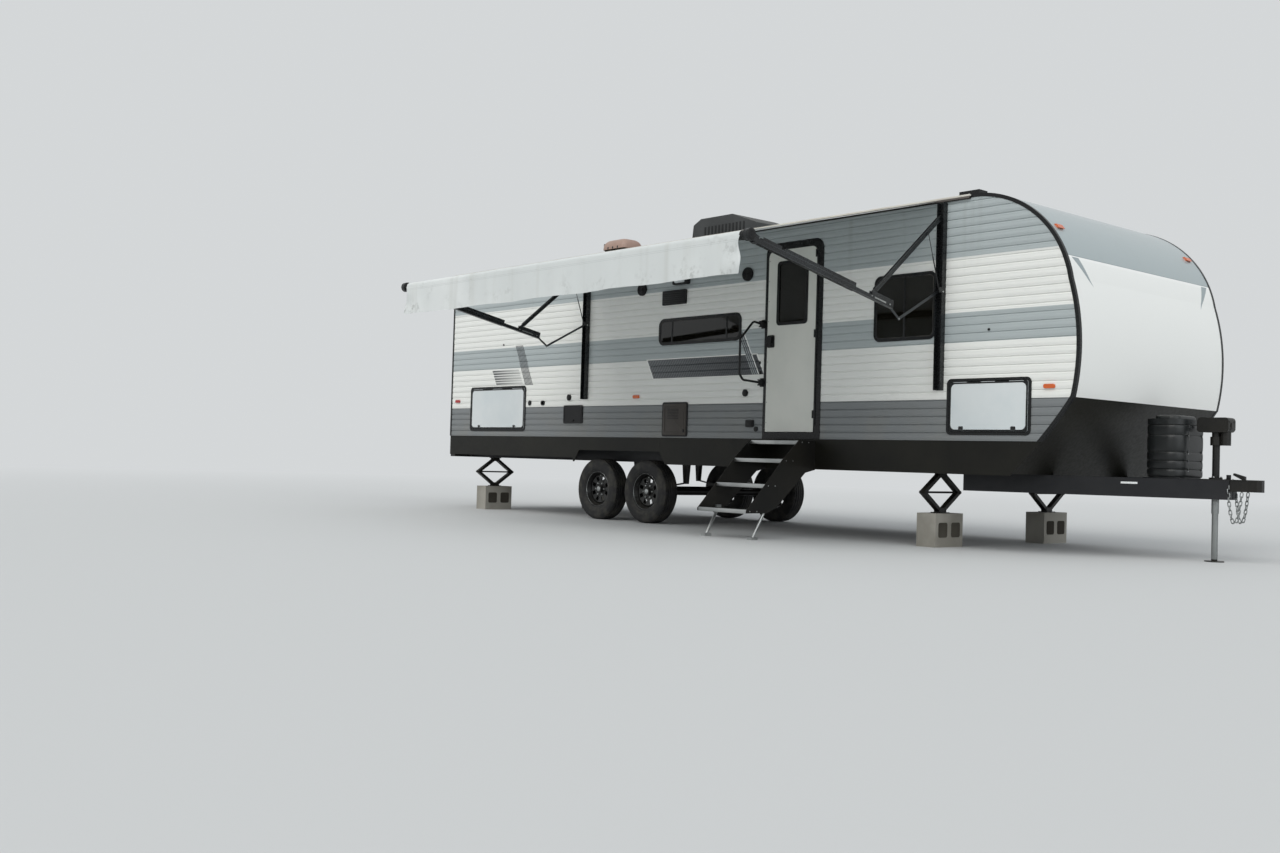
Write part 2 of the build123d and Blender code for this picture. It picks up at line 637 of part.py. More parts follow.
def stand(s, side, base):
    """A scissor stand whose arms open across the vehicle, from base up to the rail."""
    y = side * RAIL_Y
    mid = (base + RAIL_FOOT) / 2
    pivots = (RAIL_FOOT - 28, base + 28)
    parts = [stand_bracket(s, y, RAIL_FOOT, -1, 45, 60), stand_bracket(s, y, base, 1, 50, 70)]
    ends = (y - STAND_SPREAD - 30, y + STAND_SPREAD + 30)
    for way in (-1, 1):
        parts += [stand_arm(s, y, way, pivot_h, mid) for pivot_h in pivots]
        elbow = y + way * STAND_SPREAD
        barrel = rod((s - 32, elbow, mid), (s + 32, elbow, mid), STAND_BARREL)
        parts.append(barrel - rod((s, ends[0], mid), (s, ends[1], mid), STAND_SCREW + SEAT))
    parts.append(rod((s, ends[0], mid), (s, ends[1], mid), STAND_SCREW))
    return parts


def stands():
    """Front stands on blocks, rear stands on the ground."""
    pieces, blocks = [], []
    for station in STAND_STATIONS:
        for side in (-1, 1):
            lift = BLOCK_SIZE[2]
            pieces += stand(station, side, lift)
            y = side * RAIL_Y
            blocks.append(block((station - BLOCK_SIZE[0] / 2, station + BLOCK_SIZE[0] / 2),
                                (y - BLOCK_SIZE[1] / 2, y + BLOCK_SIZE[1] / 2), (0, lift)))
    return pieces, blocks


# Running gear

def tyre():
    """A 205/75 R15 tyre about the Y axis, its tread as plain rings."""
    r, w = TYRE_RADIUS, TYRE_WIDTH / 2
    half = [(r, w * 0.72), (r - 50, w), (RIM_RADIUS, w * 0.80)]
    ring = half + [(x, -y) for x, y in reversed(half)]
    face = make_face(Polyline(*[(x, y, 0) for x, y in ring], close=True))
    return revolve(face, axis=Axis.Y)


def rim(side):
    """A steel wheel with eight windows; its dished face is on the given side."""
    w = TYRE_WIDTH / 2 * 0.80 - 4
    r = RIM_RADIUS - 0.2
    shell = [(r, w), (r - 8, w), (r - 26, w - 40), (r - 26, 40 - w), (r - 8, -w), (r, -w), (r - 19, 40 - w),
             (r - 19, w - 40)]
    solid = revolve(make_face(Polyline(*[(x, y, 0) for x, y in shell], close=True)), axis=Axis.Y)
    disc = [(0, side * 30), (60, side * 30), (150, side * 40), (r - 22, side * 22), (r - 22, side * 14),
            (150, side * 32), (60, side * 12), (0, side * 12)]
    solid += revolve(make_face(Polyline(*[(x, y, 0) for x, y in disc], close=True)), axis=Axis.Y)
    for index in range(8):
        slot = Pos(118, side * 25, 0) * Rot(90, 0, 0) * extrude(Rectangle(50, 44), amount=40, both=True)
        solid -= Rot(0, index * 45 + 22.5, 0) * slot
    hub = Solid.make_cylinder(42, 34, Plane(origin=(0, side * 28, 0), z_dir=(0, side, 0)))
    return solid + hub


DRUM_RADIUS = 130.0
DRUM_BACK = 147.0           # from the wheel's middle in to the drum's back face
DRUM_FACE = 105.0


def axles():
    """Two axle tubes with brake drums at their ends."""
    pieces = []
    drum, face = WHEEL_Y - DRUM_BACK, WHEEL_Y - DRUM_FACE
    for s in HUB_STATIONS:
        tube = rod((s, -drum - 10, HUB_HEIGHT), (s, drum + 10, HUB_HEIGHT), AXLE_RADIUS)
        for side in (-1, 1):
            tube += rod((s, side * drum, HUB_HEIGHT), (s, side * face, HUB_HEIGHT), DRUM_RADIUS)
            tube += rod((s, side * (face - 1), HUB_HEIGHT), (s, side * (WHEEL_Y + 11.5), HUB_HEIGHT), 30)
        pieces.append(tube)
    return pieces


SPRING_Y = RAIL_Y - 22.0


def springs():
    """Leaf packs over the axles with their hangers and the equaliser between them."""
    pieces = []
    gap = (HUB_STATIONS[1] - HUB_STATIONS[0]) / 2
    seat = HUB_HEIGHT + AXLE_RADIUS
    for side in (-1, 1):
        y0, y1 = sorted((side * (SPRING_Y - 22), side * (SPRING_Y + 22)))
        pack = None
        for s in HUB_STATIONS:
            eye = seat + 66
            arc = ThreePointArc((s - gap + 40, y0, eye), (s, y0, seat + 26), (s + gap - 40, y0, eye))
            top = ThreePointArc((s + gap - 40, y0, eye + 10), (s, y0, seat + 40), (s - gap + 40, y0, eye + 10))
            face = make_face([arc, Line(arc @ 1, top @ 0), top, Line(top @ 1, arc @ 0)])
            leaf = extrude(face, amount=44, dir=(0, 1, 0))
            leaf += block((s - 190, s + 190), (y0, y1), (seat + 12, seat + 34))
            leaf += block((s - 60, s + 60), (y0 - 6, y1 + 6), (seat, seat + 16))
            pack = leaf if pack is None else pack + leaf
        middle = (HUB_STATIONS[0] + HUB_STATIONS[1]) / 2
        ends = [HUB_STATIONS[0] - gap + 40, HUB_STATIONS[1] + gap - 40]
        for s in ends:
            pack += side_plate([(s - 40, RAIL_FOOT), (s + 40, RAIL_FOOT), (s + 18, seat + 58), (s - 18, seat + 58)],
                               y0 - 4, y1 + 4)
        pack += side_plate([(middle - 60, RAIL_FOOT), (middle + 60, RAIL_FOOT), (middle + 20, seat + 96),
                            (middle - 20, seat + 96)], y0 - 4, y1 + 4)
        pack += side_plate([(middle - 60, seat + 60), (middle + 60, seat + 60), (middle + 26, seat + 110),
                            (middle - 26, seat + 110)], y0, y1)
        pieces.append(pack)
    return pieces


# Steps

STEP_S = (5610.0, 6240.0)
STEP_PLATE = 5.0
# Treads: inner edge and outer edge, out from the siding, and the top's height
TREADS = [(-6.0, 220.0, 905.0), (232.0, 430.0, 730.0), (462.0, 660.0, 498.0), (692.0, 890.0, 268.0)]
# Outline of a side plate, out from the siding and height
STEP_SIDE = [(-6, 912), (223, 912), (440, 727), (670, 488), (897, 262), (897, 238), (630, 238), (502, 290),
             (127, 611), (-6, 640)]
LEG_HEAD = (640.0, 262.0)
LEG_FOOT = (790.0, 22.0)
LEG_TUBE = 13.0


def steps():
    """Black side plates, four treads between them and two adjustable legs."""
    side_outline = [(side_y(-1, u), h) for u, h in STEP_SIDE]
    plates = [cross_plate(side_outline, s, s + STEP_PLATE) for s in (STEP_S[0], STEP_S[1] - STEP_PLATE)]
    treads = []
    for inner, outer, top in TREADS:
        y0, y1 = side_y(-1, outer), side_y(-1, inner)
        tread = block((STEP_S[0] + STEP_PLATE, STEP_S[1] - STEP_PLATE), (y0, y1), (top - 26, top))
        tread -= block((STEP_S[0] + 20, STEP_S[1] - 20), (y0 + 8, y1 - 8), (top - 27, top - 6))
        treads.append(tread)
    legs = []
    head_y, foot_y = side_y(-1, LEG_HEAD[0]), side_y(-1, LEG_FOOT[0])
    for s in (STEP_S[0] + STEP_PLATE + LEG_TUBE, STEP_S[1] - STEP_PLATE - LEG_TUBE):
        leg = rod((s, head_y, LEG_HEAD[1]), (s, foot_y, LEG_FOOT[1]), LEG_TUBE)
        leg += block((s - LEG_TUBE, s + LEG_TUBE), (head_y - 35, head_y + 25), (LEG_HEAD[1] - 20, LEG_HEAD[1] + 28))
        foot = block((s - 30, s + 30), (foot_y - 40, foot_y + 35), (0, LEG_FOOT[1] + 2))
        legs.append(leg + foot)
    return plates, treads, legs


# Grab handle

HANDLE_STATION = 5536.0
HANDLE_OUT = 34.0
HANDLE_TUBE = 11.0


def grab_handle():
    """A folding assist handle, swung out square to the wall, and its two brackets."""
    s = HANDLE_STATION
    points = [(30, 2045), (142, 2062), (262, 1935), (318, 1880), (318, 1540), (268, 1486), (30, 1474)]
    path = [(s, side_y(-1, out), h) for out, h in points]
    loop = pipe(path, [55, 50, 30, 45, 45], HANDLE_TUBE)
    brackets = []
    for h in (2045.0, 1474.0):
        y = side_y(-1, HANDLE_OUT)
        loop += Solid.make_cylinder(15, 35.4, Plane(origin=(s, y, h - 17.7)))
        plate = block((s - 22, s + 22), tuple(sorted((side_y(-1, 0), side_y(-1, 7)))), (h - 42, h + 42))
        for way in (-1, 1):
            ear_h = sorted((h + way * 18, h + way * 30))
            plate += block((s - 18, s + 18), tuple(sorted((side_y(-1, 6), side_y(-1, HANDLE_OUT + 14)))), tuple(ear_h))
        brackets.append(plate)
    return loop, brackets


# Awning

LINK_LANE = 19.9            # inner face of the upper link, beside the arm
LINK_WALL = 4.8
CHANNEL_HALF = 35.0
CHANNEL_DEPTH = 55.0
UPPER_HALF = 10.0           # half the width of the upper arm
UPPER_DEPTH = 26.0
STRUT_LANE = 25.0           # strut's centre line, beside the upper arm
STRUT_RADIUS = 5.2


def out_point(station, point):
    """A point of an arm's plane, as a yard point."""
    return (station, -(BODY_HALF + point[0]), point[1])


def arm_bar(station, start, end, lane, width, before=0.0, after=0.0):
    """A flat bar between two points of the arm's plane, between two x offsets."""
    du, dh = end[0] - start[0], end[1] - start[1]
    away = hypot(du, dh)
    ux, uh = du / away, dh / away
    a = (start[0] - ux * before, start[1] - uh * before)
    b = (end[0] + ux * after, end[1] + uh * after)
    nx, nh = -uh * width / 2, ux * width / 2
    points = [(a[0] + nx, a[1] + nh), (b[0] + nx, b[1] + nh), (b[0] - nx, b[1] - nh), (a[0] - nx, a[1] - nh)]
    return cross_plate([(-(BODY_HALF + u), h) for u, h in points], station + lane[0], station + lane[1])


def offset_point(point, along, across, angle):
    """A point moved along and across a direction, angle in degrees above the outward line."""
    c, d = cos(radians(angle)), sin(radians(angle))
    return (point[0] + along * c - across * d, point[1] + along * d + across * c)


ARM_ANGLE = degrees(atan2(ROLLER[1] - ELBOW[1], ROLLER[0] - ELBOW[0])) + 0.5
ARM_REACH = hypot(ROLLER[0] - ELBOW[0], ROLLER[1] - ELBOW[1])


def channel(station):
    """Wall channel that the folded arms lie in."""
    web = block((station - CHANNEL_HALF, station + CHANNEL_HALF), (-(BODY_HALF + 3), -BODY_HALF),
                (CHANNEL_FOOT, CHANNEL_HEAD))
    for side in (-1, 1):
        s = sorted((station + side * CHANNEL_HALF, station + side * (CHANNEL_HALF - 3)))
        web += block(tuple(s), (-(BODY_HALF + CHANNEL_DEPTH), -BODY_HALF), (CHANNEL_FOOT, CHANNEL_HEAD))
    top = PIVOT_TOP
    web += rod(out_point(station - CHANNEL_HALF, top), out_point(station - 10.5, top), 5)
    web += rod(out_point(station + 10.5, top), out_point(station + CHANNEL_HALF, top), 5)
    link_face = LINK_LANE + LINK_WALL * 2 + PIN_GAP + SEAT
    web += rod(out_point(station - CHANNEL_HALF, PIVOT_MID), out_point(station - link_face, PIVOT_MID), 5)
    web += rod(out_point(station + STRUT_LANE + STRUT_RADIUS + SEAT, STRUT_FOOT),
               out_point(station + CHANNEL_HALF, STRUT_FOOT), 5)
    web += block((station + CHANNEL_HALF - 3, station + CHANNEL_HALF),
                 (-(BODY_HALF + STRUT_FOOT[0] + 12), -(BODY_HALF + CHANNEL_DEPTH - 10)),
                 (STRUT_FOOT[1] - 22, STRUT_FOOT[1] + 22))
    return web


def upper_arm(station):
    bar = arm_bar(station, PIVOT_TOP, ELBOW, (-UPPER_HALF, UPPER_HALF), UPPER_DEPTH, 14, 6)
    pin = rod(out_point(station + UPPER_HALF, STRUT_HEAD), out_point(station + STRUT_LANE - 3 - SEAT, STRUT_HEAD), 4)
    return bar + pin


def hollow_bar(station, start, end, half_out, half_in, angle, low, high, web, before, after):
    """A channel-section arm: two flanges and a web on its underside."""
    pieces = None
    for lane in ((-half_out, -half_in), (half_in, half_out)):
        a, b = offset_point(start, -before, low, angle), offset_point(end, after, low, angle)
        c, d = offset_point(end, after, high, angle), offset_point(start, -before, high, angle)
        flange = cross_plate([(-(BODY_HALF + u), h) for u, h in (a, b, c, d)], station + lane[0], station + lane[1])
        pieces = flange if pieces is None else pieces + flange
    a, b = offset_point(start, -before, low, angle), offset_point(end, after, low, angle)
    c, d = offset_point(end, after, low + web, angle), offset_point(start, -before, low + web, angle)
    plate = cross_plate([(-(BODY_HALF + u), h) for u, h in (a, b, c, d)], station - half_out, station + half_out)
    return pieces + plate


HEEL = 264.0                # from the elbow back to the end of the inner arm
ARM_WALL = 3.0
ARM_HALF = 15.5             # half the width of the inner arm
ARM_TOP = -21.0             # the main arm hangs this far below the elbow's pin
ARM_FOOT = -54.0
INNER_REACH = 980.0
PIN_GAP = 0.5               # side play of a lug or link on its pin


def elbow_lug(station, side):
    """An ear that stands up from the inner arm beside the upper arm."""
    lane = sorted((side * (UPPER_HALF + PIN_GAP), side * (UPPER_HALF + PIN_GAP + ARM_WALL)))
    low = offset_point(ELBOW, 0, ARM_TOP - 6, ARM_ANGLE)
    ear = arm_bar(station, low, ELBOW, lane, 28)
    x0, x1 = station + lane[0], station + lane[1]
    return ear + rod(out_point(x0, ELBOW), out_point(x1, ELBOW), 14)


def inner_arm(station):
    """From its heel, past the elbow, to most of the way out."""
    arm = hollow_bar(station, ELBOW, ELBOW, ARM_HALF, ARM_HALF - ARM_WALL, ARM_ANGLE, ARM_FOOT, ARM_TOP, ARM_WALL,
                     HEEL, INNER_REACH)
    arm += rod(out_point(station - LINK_LANE + SEAT, ARM_HEEL), out_point(station + ARM_HALF + 1, ARM_HEEL), 9)
    for side in (-1, 1):
        arm += elbow_lug(station, side)
    return arm


OUTER_START = 230.0         # inner end of the outer arm, from the elbow
OUTER_WALL = 3.0
HEAD_HALF = 24.0            # half the width of the roller's head casting
HEAD_BACK = 80.0            # the casting reaches this far back along the arm
HEAD_RADIUS = 46.5          # the drum that the roller's spring sits in
ROLLER_END = 41.0           # the roller's tube starts this far from the arm's middle


def outer_arm(station):
    """Sliding outer arm with the roller's head casting."""
    end = offset_point(ELBOW, ARM_REACH - 40, 0, ARM_ANGLE)
    start = offset_point(ELBOW, OUTER_START, 0, ARM_ANGLE)
    inside = ARM_HALF + SEAT
    foot = ARM_FOOT - SEAT - OUTER_WALL
    arm = hollow_bar(station, start, end, inside + OUTER_WALL, inside, ARM_ANGLE, foot, ARM_TOP + 3, OUTER_WALL, 0, 0)
    back = offset_point(ROLLER, -HEAD_BACK, -20, ARM_ANGLE)
    head = arm_bar(station, back, ROLLER, (-HEAD_HALF, HEAD_HALF), 60, 0, 10)
    head += rod(out_point(station - HEAD_HALF - 2, ROLLER), out_point(station + HEAD_HALF + 2, ROLLER), HEAD_RADIUS)
    return arm + head


def roller():
    """Roller tube with closed ends, and the stub axle at each end that turns in the head."""
    first, last = ARM_STATIONS
    tube = rod(out_point(first + ROLLER_END, ROLLER), out_point(last - ROLLER_END, ROLLER), ROLLER_RADIUS)
    bore = ROLLER_END + 6
    tube -= rod(out_point(first + bore, ROLLER), out_point(last - bore, ROLLER), ROLLER_RADIUS - 3)
    stubs = [rod(out_point(end + way * (HEAD_HALF + 2), ROLLER), out_point(end + way * (ROLLER_END - SEAT), ROLLER), 9)
             for end, way in ((first, 1), (last, -1))]
    return [tube, *stubs]


RIVET = 4.0


def lower_link(station):
    """The knee's lower link, with the rivet that the upper link turns on."""
    outer = LINK_LANE + LINK_WALL * 2 + PIN_GAP
    link = arm_bar(station, PIVOT_MID, KNEE, (-outer, LINK_WALL - outer), 22, 10, 10)
    return link + rod(out_point(station - outer, KNEE), out_point(station - LINK_LANE, KNEE), RIVET)


def upper_link(station):
    outer = LINK_LANE + LINK_WALL
    link = arm_bar(station, KNEE, ARM_HEEL, (-outer, -LINK_LANE), 20, 9, 9)
    return link - rod(out_point(station - outer - 1, KNEE), out_point(station - LINK_LANE + 1, KNEE), RIVET + RUN_FIT)


RUN_FIT = 0.1               # radial clearance of a rivet or a sliding rod
STRUT_BODY = 290.0          # length of the strut's cylinder
STRUT_ROD = 3.0
STRUT_LAP = 60.0            # the rod starts this far inside the cylinder
STRUT_BLIND = 90.0          # solid end of the cylinder


def strut_point(away):
    """A point of the strut's line, measured from its foot."""
    way = (STRUT_HEAD[0] - STRUT_FOOT[0], STRUT_HEAD[1] - STRUT_FOOT[1])
    whole = hypot(*way)
    return (STRUT_FOOT[0] + way[0] / whole * away, STRUT_FOOT[1] + way[1] / whole * away)


def strut_cylinder(station):
    s = station + STRUT_LANE
    body = rod(out_point(s, STRUT_FOOT), out_point(s, strut_point(STRUT_BODY)), STRUT_RADIUS)
    return body - rod(out_point(s, strut_point(STRUT_BLIND)), out_point(s, strut_point(STRUT_BODY + 5)),
                      STRUT_ROD + RUN_FIT)


def strut_rod(station):
    s = station + STRUT_LANE
    return rod(out_point(s, strut_point(STRUT_BODY - STRUT_LAP)), out_point(s, STRUT_HEAD), STRUT_ROD)


CANOPY_S = (ARM_STATIONS[0] + 60, ARM_STATIONS[1] - 60)
CANOPY_THICK = 3.0
CANOPY_SAG = 12.0           # how far the fabric dips between rail and roller


def canopy():
    """The awning's fabric, a plain sheet from the rail down to the roller."""
    start = (RAIL_OUT[0] + 6 + SEAT, RAIL_OUT[1] - 4)
    end = (ROLLER[0] - 6, ROLLER[1] + ROLLER_RADIUS - 0.2)
    sag = CANOPY_SAG
    count = 5
    top = []
    for index in range(count + 1):
        share = index / count
        dip = sag * 4 * share * (1 - share)
        top.append((start[0] + (end[0] - start[0]) * share, start[1] + (end[1] - start[1]) * share - dip))
    points = [(-(BODY_HALF + u), h) for u, h in top]
    points += [(-(BODY_HALF + u), h + CANOPY_THICK) for u, h in reversed(top)]
    return cross_plate(points, *CANOPY_S)


VALANCE_DROP = 285.0


def valance():
    """The strip of fabric that hangs outside the roller."""
    u = ROLLER[0] + ROLLER_RADIUS + SEAT
    return block(CANOPY_S, (-(BODY_HALF + u + CANOPY_THICK), -(BODY_HALF + u)), (ROLLER[1] - VALANCE_DROP, ROLLER[1] + 20))


def awning_rail():
    """The extrusion at the roof edge that holds the fabric's bead."""
    u, h = RAIL_OUT
    return block((ARM_STATIONS[0] - 150, ROOF_END[0] - 60), (-(BODY_HALF + u + 6), -(BODY_HALF + TRIM_THICK)), (h - 14, h + 2))


# Roof and fittings

AC_HEIGHT = 427.0           # top of the shroud over the roof's edge
AC_ROUND = 18.0


def air_conditioner():
    """A low shroud with a raked nose on the roof."""
    s0, s1 = 3520.0, 4600.0
    base, top = ROOF_EDGE + CROWN - 18, ROOF_EDGE + AC_HEIGHT
    points = [(s0, base), (s0 + 40, top - 60), (s0 + 160, top), (s1 - 420, top), (s1 - 60, top - 130), (s1, base)]
    shroud = side_plate(points, -340, 340)
    edges = shroud.edges().filter_by(Axis.Y).sort_by(Axis.Z)[-4:]
    shroud = fillet(edges, AC_ROUND)
    return shroud - crown_tool()


def crown_tool():
    """Everything under the roof's crown, to seat roof pieces on its curve."""
    arc = ThreePointArc((-50, -CROWN_HALF, ROOF_EDGE), (-50, 0, ROOF_EDGE + CROWN), (-50, CROWN_HALF, ROOF_EDGE))
    foot = Polyline(arc @ 1, (-50, CROWN_HALF, ROOF_EDGE - 300), (-50, -CROWN_HALF, ROOF_EDGE - 300), arc @ 0)
    return extrude(make_face([arc, foot]), amount=CROWN_FRONT + 50, dir=(1, 0, 0))


VENTS = [(1570.0, 2250.0, 0.0, 3425.0), (5000.0, 5400.0, -420.0, 3160.0)]


def roof_vents():
    """Domed vents; the rear one stands tall."""
    pieces = []
    for s0, s1, y, top in VENTS:
        base = ROOF_EDGE
        lower = Pos((s0 + s1) / 2, y, base) * RectangleRounded(s1 - s0, 380, 30)
        body = extrude(lower, amount=top - base - 60, dir=(0, 0, 1))
        lid = Pos((s0 + s1) / 2, y, top - 60) * RectangleRounded(s1 - s0 + 30, 410, 40)
        body += extrude(lid, amount=60, dir=(0, 0, 1))
        pieces.append(body - crown_tool())
    return pieces


BUMPER = 100.0
BUMPER_HALF = BODY_HALF - 120


def bumper():
    """Square tube across the back on two arms, with caps at its ends."""
    ends = (-BUMPER_HALF, BUMPER_HALF)
    tube = block((-BUMPER - 60, -60), ends, (RAIL_FOOT, RAIL_FOOT + BUMPER))
    tube -= block((-BUMPER - 57, -63), (ends[0] + 3, ends[1] - 3), (RAIL_FOOT + 3, RAIL_FOOT + BUMPER - 3))
    for side in (-1, 1):
        tube += block((-60, PAN), (side * RAIL_Y - 30, side * RAIL_Y + 30), (RAIL_FOOT + 8, RAIL_FOOT + 92))
    return tube


CAP_LAMP = (8610.0, BODY_HALF - 140, 2665.0)     # station, half spacing and height of the front clearance lamps
SIDE_LAMP = (1350.0, 1385.0)            # lower and upper edge
TAIL_LAMP = (1180.0, 1420.0)
HIGH_LAMP = (ROOF_EDGE - 103, ROOF_EDGE - 73)


def cap_lamp(side):
    """A clearance lamp that stands out of the front cap and follows its slope."""
    s, y, h = CAP_LAMP
    body = block((s - 80, s + 80), (side * y - 45, side * y + 45), (h - 17, h + 17))
    skin = slab_between(offset(outline(), amount=16, kind=Kind.INTERSECTION), -BODY_HALF, BODY_HALF)
    return (body & skin) - slab_between(outline(), -BODY_HALF, BODY_HALF)


def lamps():
    """Marker and tail lamps as separate solids."""
    def side_lamp(s, side):
        return rounded_side((s - 50, s + 50), SIDE_LAMP, 14, side_y(side, 0), side_y(side, 14))

    amber = [side_lamp(s, side) for s in (3669.0, 8677.0) for side in (-1, 1)]
    amber += [cap_lamp(side) for side in (-1, 1)]
    red = [side_lamp(165.0, side) for side in (-1, 1)]
    outer = BODY_HALF - 130
    for y in (-outer, outer):
        red.append(block((-26, 0), (y - 60, y + 60), TAIL_LAMP))
    outer = BODY_HALF - 160
    for y in (-outer, -130.0, 0.0, 130.0, outer):
        red.append(block((-18, 0), (y - 45, y + 45), HIGH_LAMP))
    return amber, red


FITTINGS = [
    # name, start, end, low, high, radius, out
    ("water_heater", 4104.0, 4491.0, 940.0, 1300.0, 25.0, 10.0),
    ("range_vent", 4067.0, 4428.0, 2328.0, 2480.0, 12.0, 22.0),
    ("shower_box", 2398.0, 2748.0, 1080.0, 1288.0, 16.0, 12.0),
    ("outlet", 5340.0, 5440.0, 1040.0, 1110.0, 8.0, 18.0),
]


AWNING_LIGHT = (4243.0, 4472.0, 2530.0, 2605.0, 20.0, 45.0)
ROOF_PORT = (7730.0, 7930.0, 70.0, 190.0, 52.0)      # start, end, inward from the siding twice, height over the edge


def fittings():
    """What is screwed to the kerb side."""
    pieces = []
    for name, s0, s1, h0, h1, radius, out in FITTINGS:
        pieces.append(rounded_side((s0, s1), (h0, h1), radius, side_y(-1, 0), side_y(-1, out)))
    for s, h, radius, out in ((5311.0, 2556.0, 68.0, 20.0), (3723.0, 2528.0, 68.0, 20.0),
                              (5317.0, 1376.0, 35.0, 14.0), (2489.0, 1378.0, 35.0, 14.0)):
        pieces.append(rod((s, side_y(-1, 0), h), (s, side_y(-1, out), h), radius))
    s0, s1, h0, h1, radius, out = AWNING_LIGHT
    pieces.append(rounded_side((s0, s1), (h0, h1), radius, side_y(-1, 0), side_y(-1, out)))
    return pieces


def roof_port(roof):
    """A low cable port near the roof's edge, seated on the roof's curve."""
    s0, s1, inner, outer, top = ROOF_PORT
    port = block((s0, s1), (-(BODY_HALF - inner), -(BODY_HALF - outer)), (ROOF_EDGE - 30, ROOF_EDGE + top))
    return port - roof


TRIM_WIDTH = 28.0
TRIM_THICK = 3.0


def edge_trim():
    """Black corner moulding round one side's edge, on the siding and over the ring."""
    face = outline()
    inner = offset(face, amount=-TRIM_WIDTH, kind=Kind.INTERSECTION)
    outer = offset(face, amount=TRIM_THICK, kind=Kind.INTERSECTION)
    y0, y1 = -(BODY_HALF + TRIM_THICK), -BODY_HALF
    flat = slab_between(outer, y0, y1) - slab_between(inner, y0 - 1, y1 + 1)
    lip = slab_between(outer, y1, y1 + TRIM_WIDTH) - slab_between(face, y1 - 1, y1 + TRIM_WIDTH + 1)
    return (flat + lip) & side_box((-10, LONG), (SIDING_FOOT, LONG))


def pieces():
    """Every node's name and its solids, in yard coordinates."""
    nodes = {}
    roof, cap, nose, floor, rear = shell_panels()
    nodes["roof"] = roof
    nodes["front_cap"] = cap
    nodes["nose_underside"] = nose
    nodes["floor"] = floor
    nodes["rear_wall"] = rear
    core, sheet = wall_core(), siding_sheet()
    skins = []
    for name, side in (("kerb", -1), ("road", 1)):
        wall = core if side < 0 else mirrored(core)
        skin = sheet if side < 0 else mirrored(sheet)
        for opening in wall_cuts(side):
            wall -= cut_through(opening, side)
            skin -= cut_through(opening, side)
        if side < 0:
            hole = door_prism(door_lining(), 20, WALL_INSIDE - 20)
            wall -= hole
            skin -= hole
        nodes["side_wall_" + name] = wall
        skins.append(skin)
    nodes["siding"] = skins
    nodes["skirts"] = [piece for panel in skirt() for piece in (panel, mirrored(panel))]
    nodes["edge_trims"] = [edge_trim(), mirrored(edge_trim())]
    windows = [(w, -1) for w in KERB_WINDOWS] + [(w, 1) for w in ROAD_WINDOWS]
    nodes["window_frames"] = [window_frame(w, side) for w, side in windows]
    nodes["window_panes"] = [window_pane(w, side) for w, side in windows]
    slab, pane_frame, pane, frame = entry_door()
    nodes["entry_door"] = slab
    nodes["entry_door_trim"] = [pane_frame, door_latch()]
    nodes["entry_door_pane"] = pane
    nodes["door_frames"] = [frame]
    for row in LUGGAGE:
        slab, frame = luggage_door(row)
        nodes["luggage_door_" + row[0]] = slab
        nodes["door_frames"].append(frame)
    handle, brackets = grab_handle()
    nodes["grab_handle"] = handle
    nodes["wall_fittings"] = fittings() + brackets + [roof_port(roof)]
    nodes["chassis_rails"] = rails()
    nodes["cross_members"] = cross_members() + outriggers()
    nodes["tongue_beams"] = tongue_beams()
    nodes["hitch_plates"] = [hitch_cross(), jack_plate()]
    nodes["coupler"] = coupler()
    nodes["tongue_jack"] = tongue_jack()
    nodes["gas_cover"] = gas_cover()
    nodes["stands"], nodes["stand_blocks"] = stands()
    nodes["axles"] = axles()
    nodes["leaf_springs"] = springs()
    for end, s in (("rear", HUB_STATIONS[0]), ("front", HUB_STATIONS[1])):
        for side_name, side in (("kerb", -1), ("road", 1)):
            place = Pos(s, side * WHEEL_Y, HUB_HEIGHT)
            nodes["tyre_" + end + "_" + side_name] = place * tyre()
            nodes["rim_" + end + "_" + side_name] = place * rim(side)
    nodes["step_sides"], nodes["step_treads"], nodes["step_legs"] = steps()
    nodes["bumper"] = bumper()
    nodes["lamps_amber"], nodes["lamps_red"] = lamps()
    nodes["air_conditioner"] = air_conditioner()
    nodes["roof_vents"] = roof_vents()
    nodes["awning_wall_rails"] = [channel(s) for s in ARM_STATIONS] + [awning_rail()]
    for name, make in (("upper_arms", upper_arm), ("inner_arms", inner_arm),
                       ("lower_links", lower_link), ("upper_links", upper_link),
                       ("strut_cylinders", strut_cylinder), ("strut_rods", strut_rod)):
        nodes["awning_" + name] = [make(s) for s in ARM_STATIONS]
    nodes["awning_outer_arms"] = [outer_arm(s) for s in ARM_STATIONS]
    nodes["awning_roller"] = roller()
    nodes["awning_canopy"] = canopy()
    nodes["awning_valance"] = valance()
    return nodes


def main():
    os.makedirs("parts", exist_ok=True)
    for name, shape in pieces().items():
        solids = []
        for piece in shape if isinstance(shape, list) else [shape]:
            solids += placed(piece).solids()
        whole = solids[0] if len(solids) == 1 else Compound(children=solids)
        export_step(whole, "parts/" + name + ".step")
        print(name, len(solids))


if __name__ == "__main__":
    main()
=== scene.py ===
# %% [markdown]
# A travel caravan, dressed for its portrait.
#
# The construction arrives ready made: every panel, beam, hinge and wheel is a fixed piece at its
# real size. This lesson gives those pieces their finishes, and builds what is better modelled
# here: cloth, tyre tread, seals, rivets, louvres, chains and small hardware.

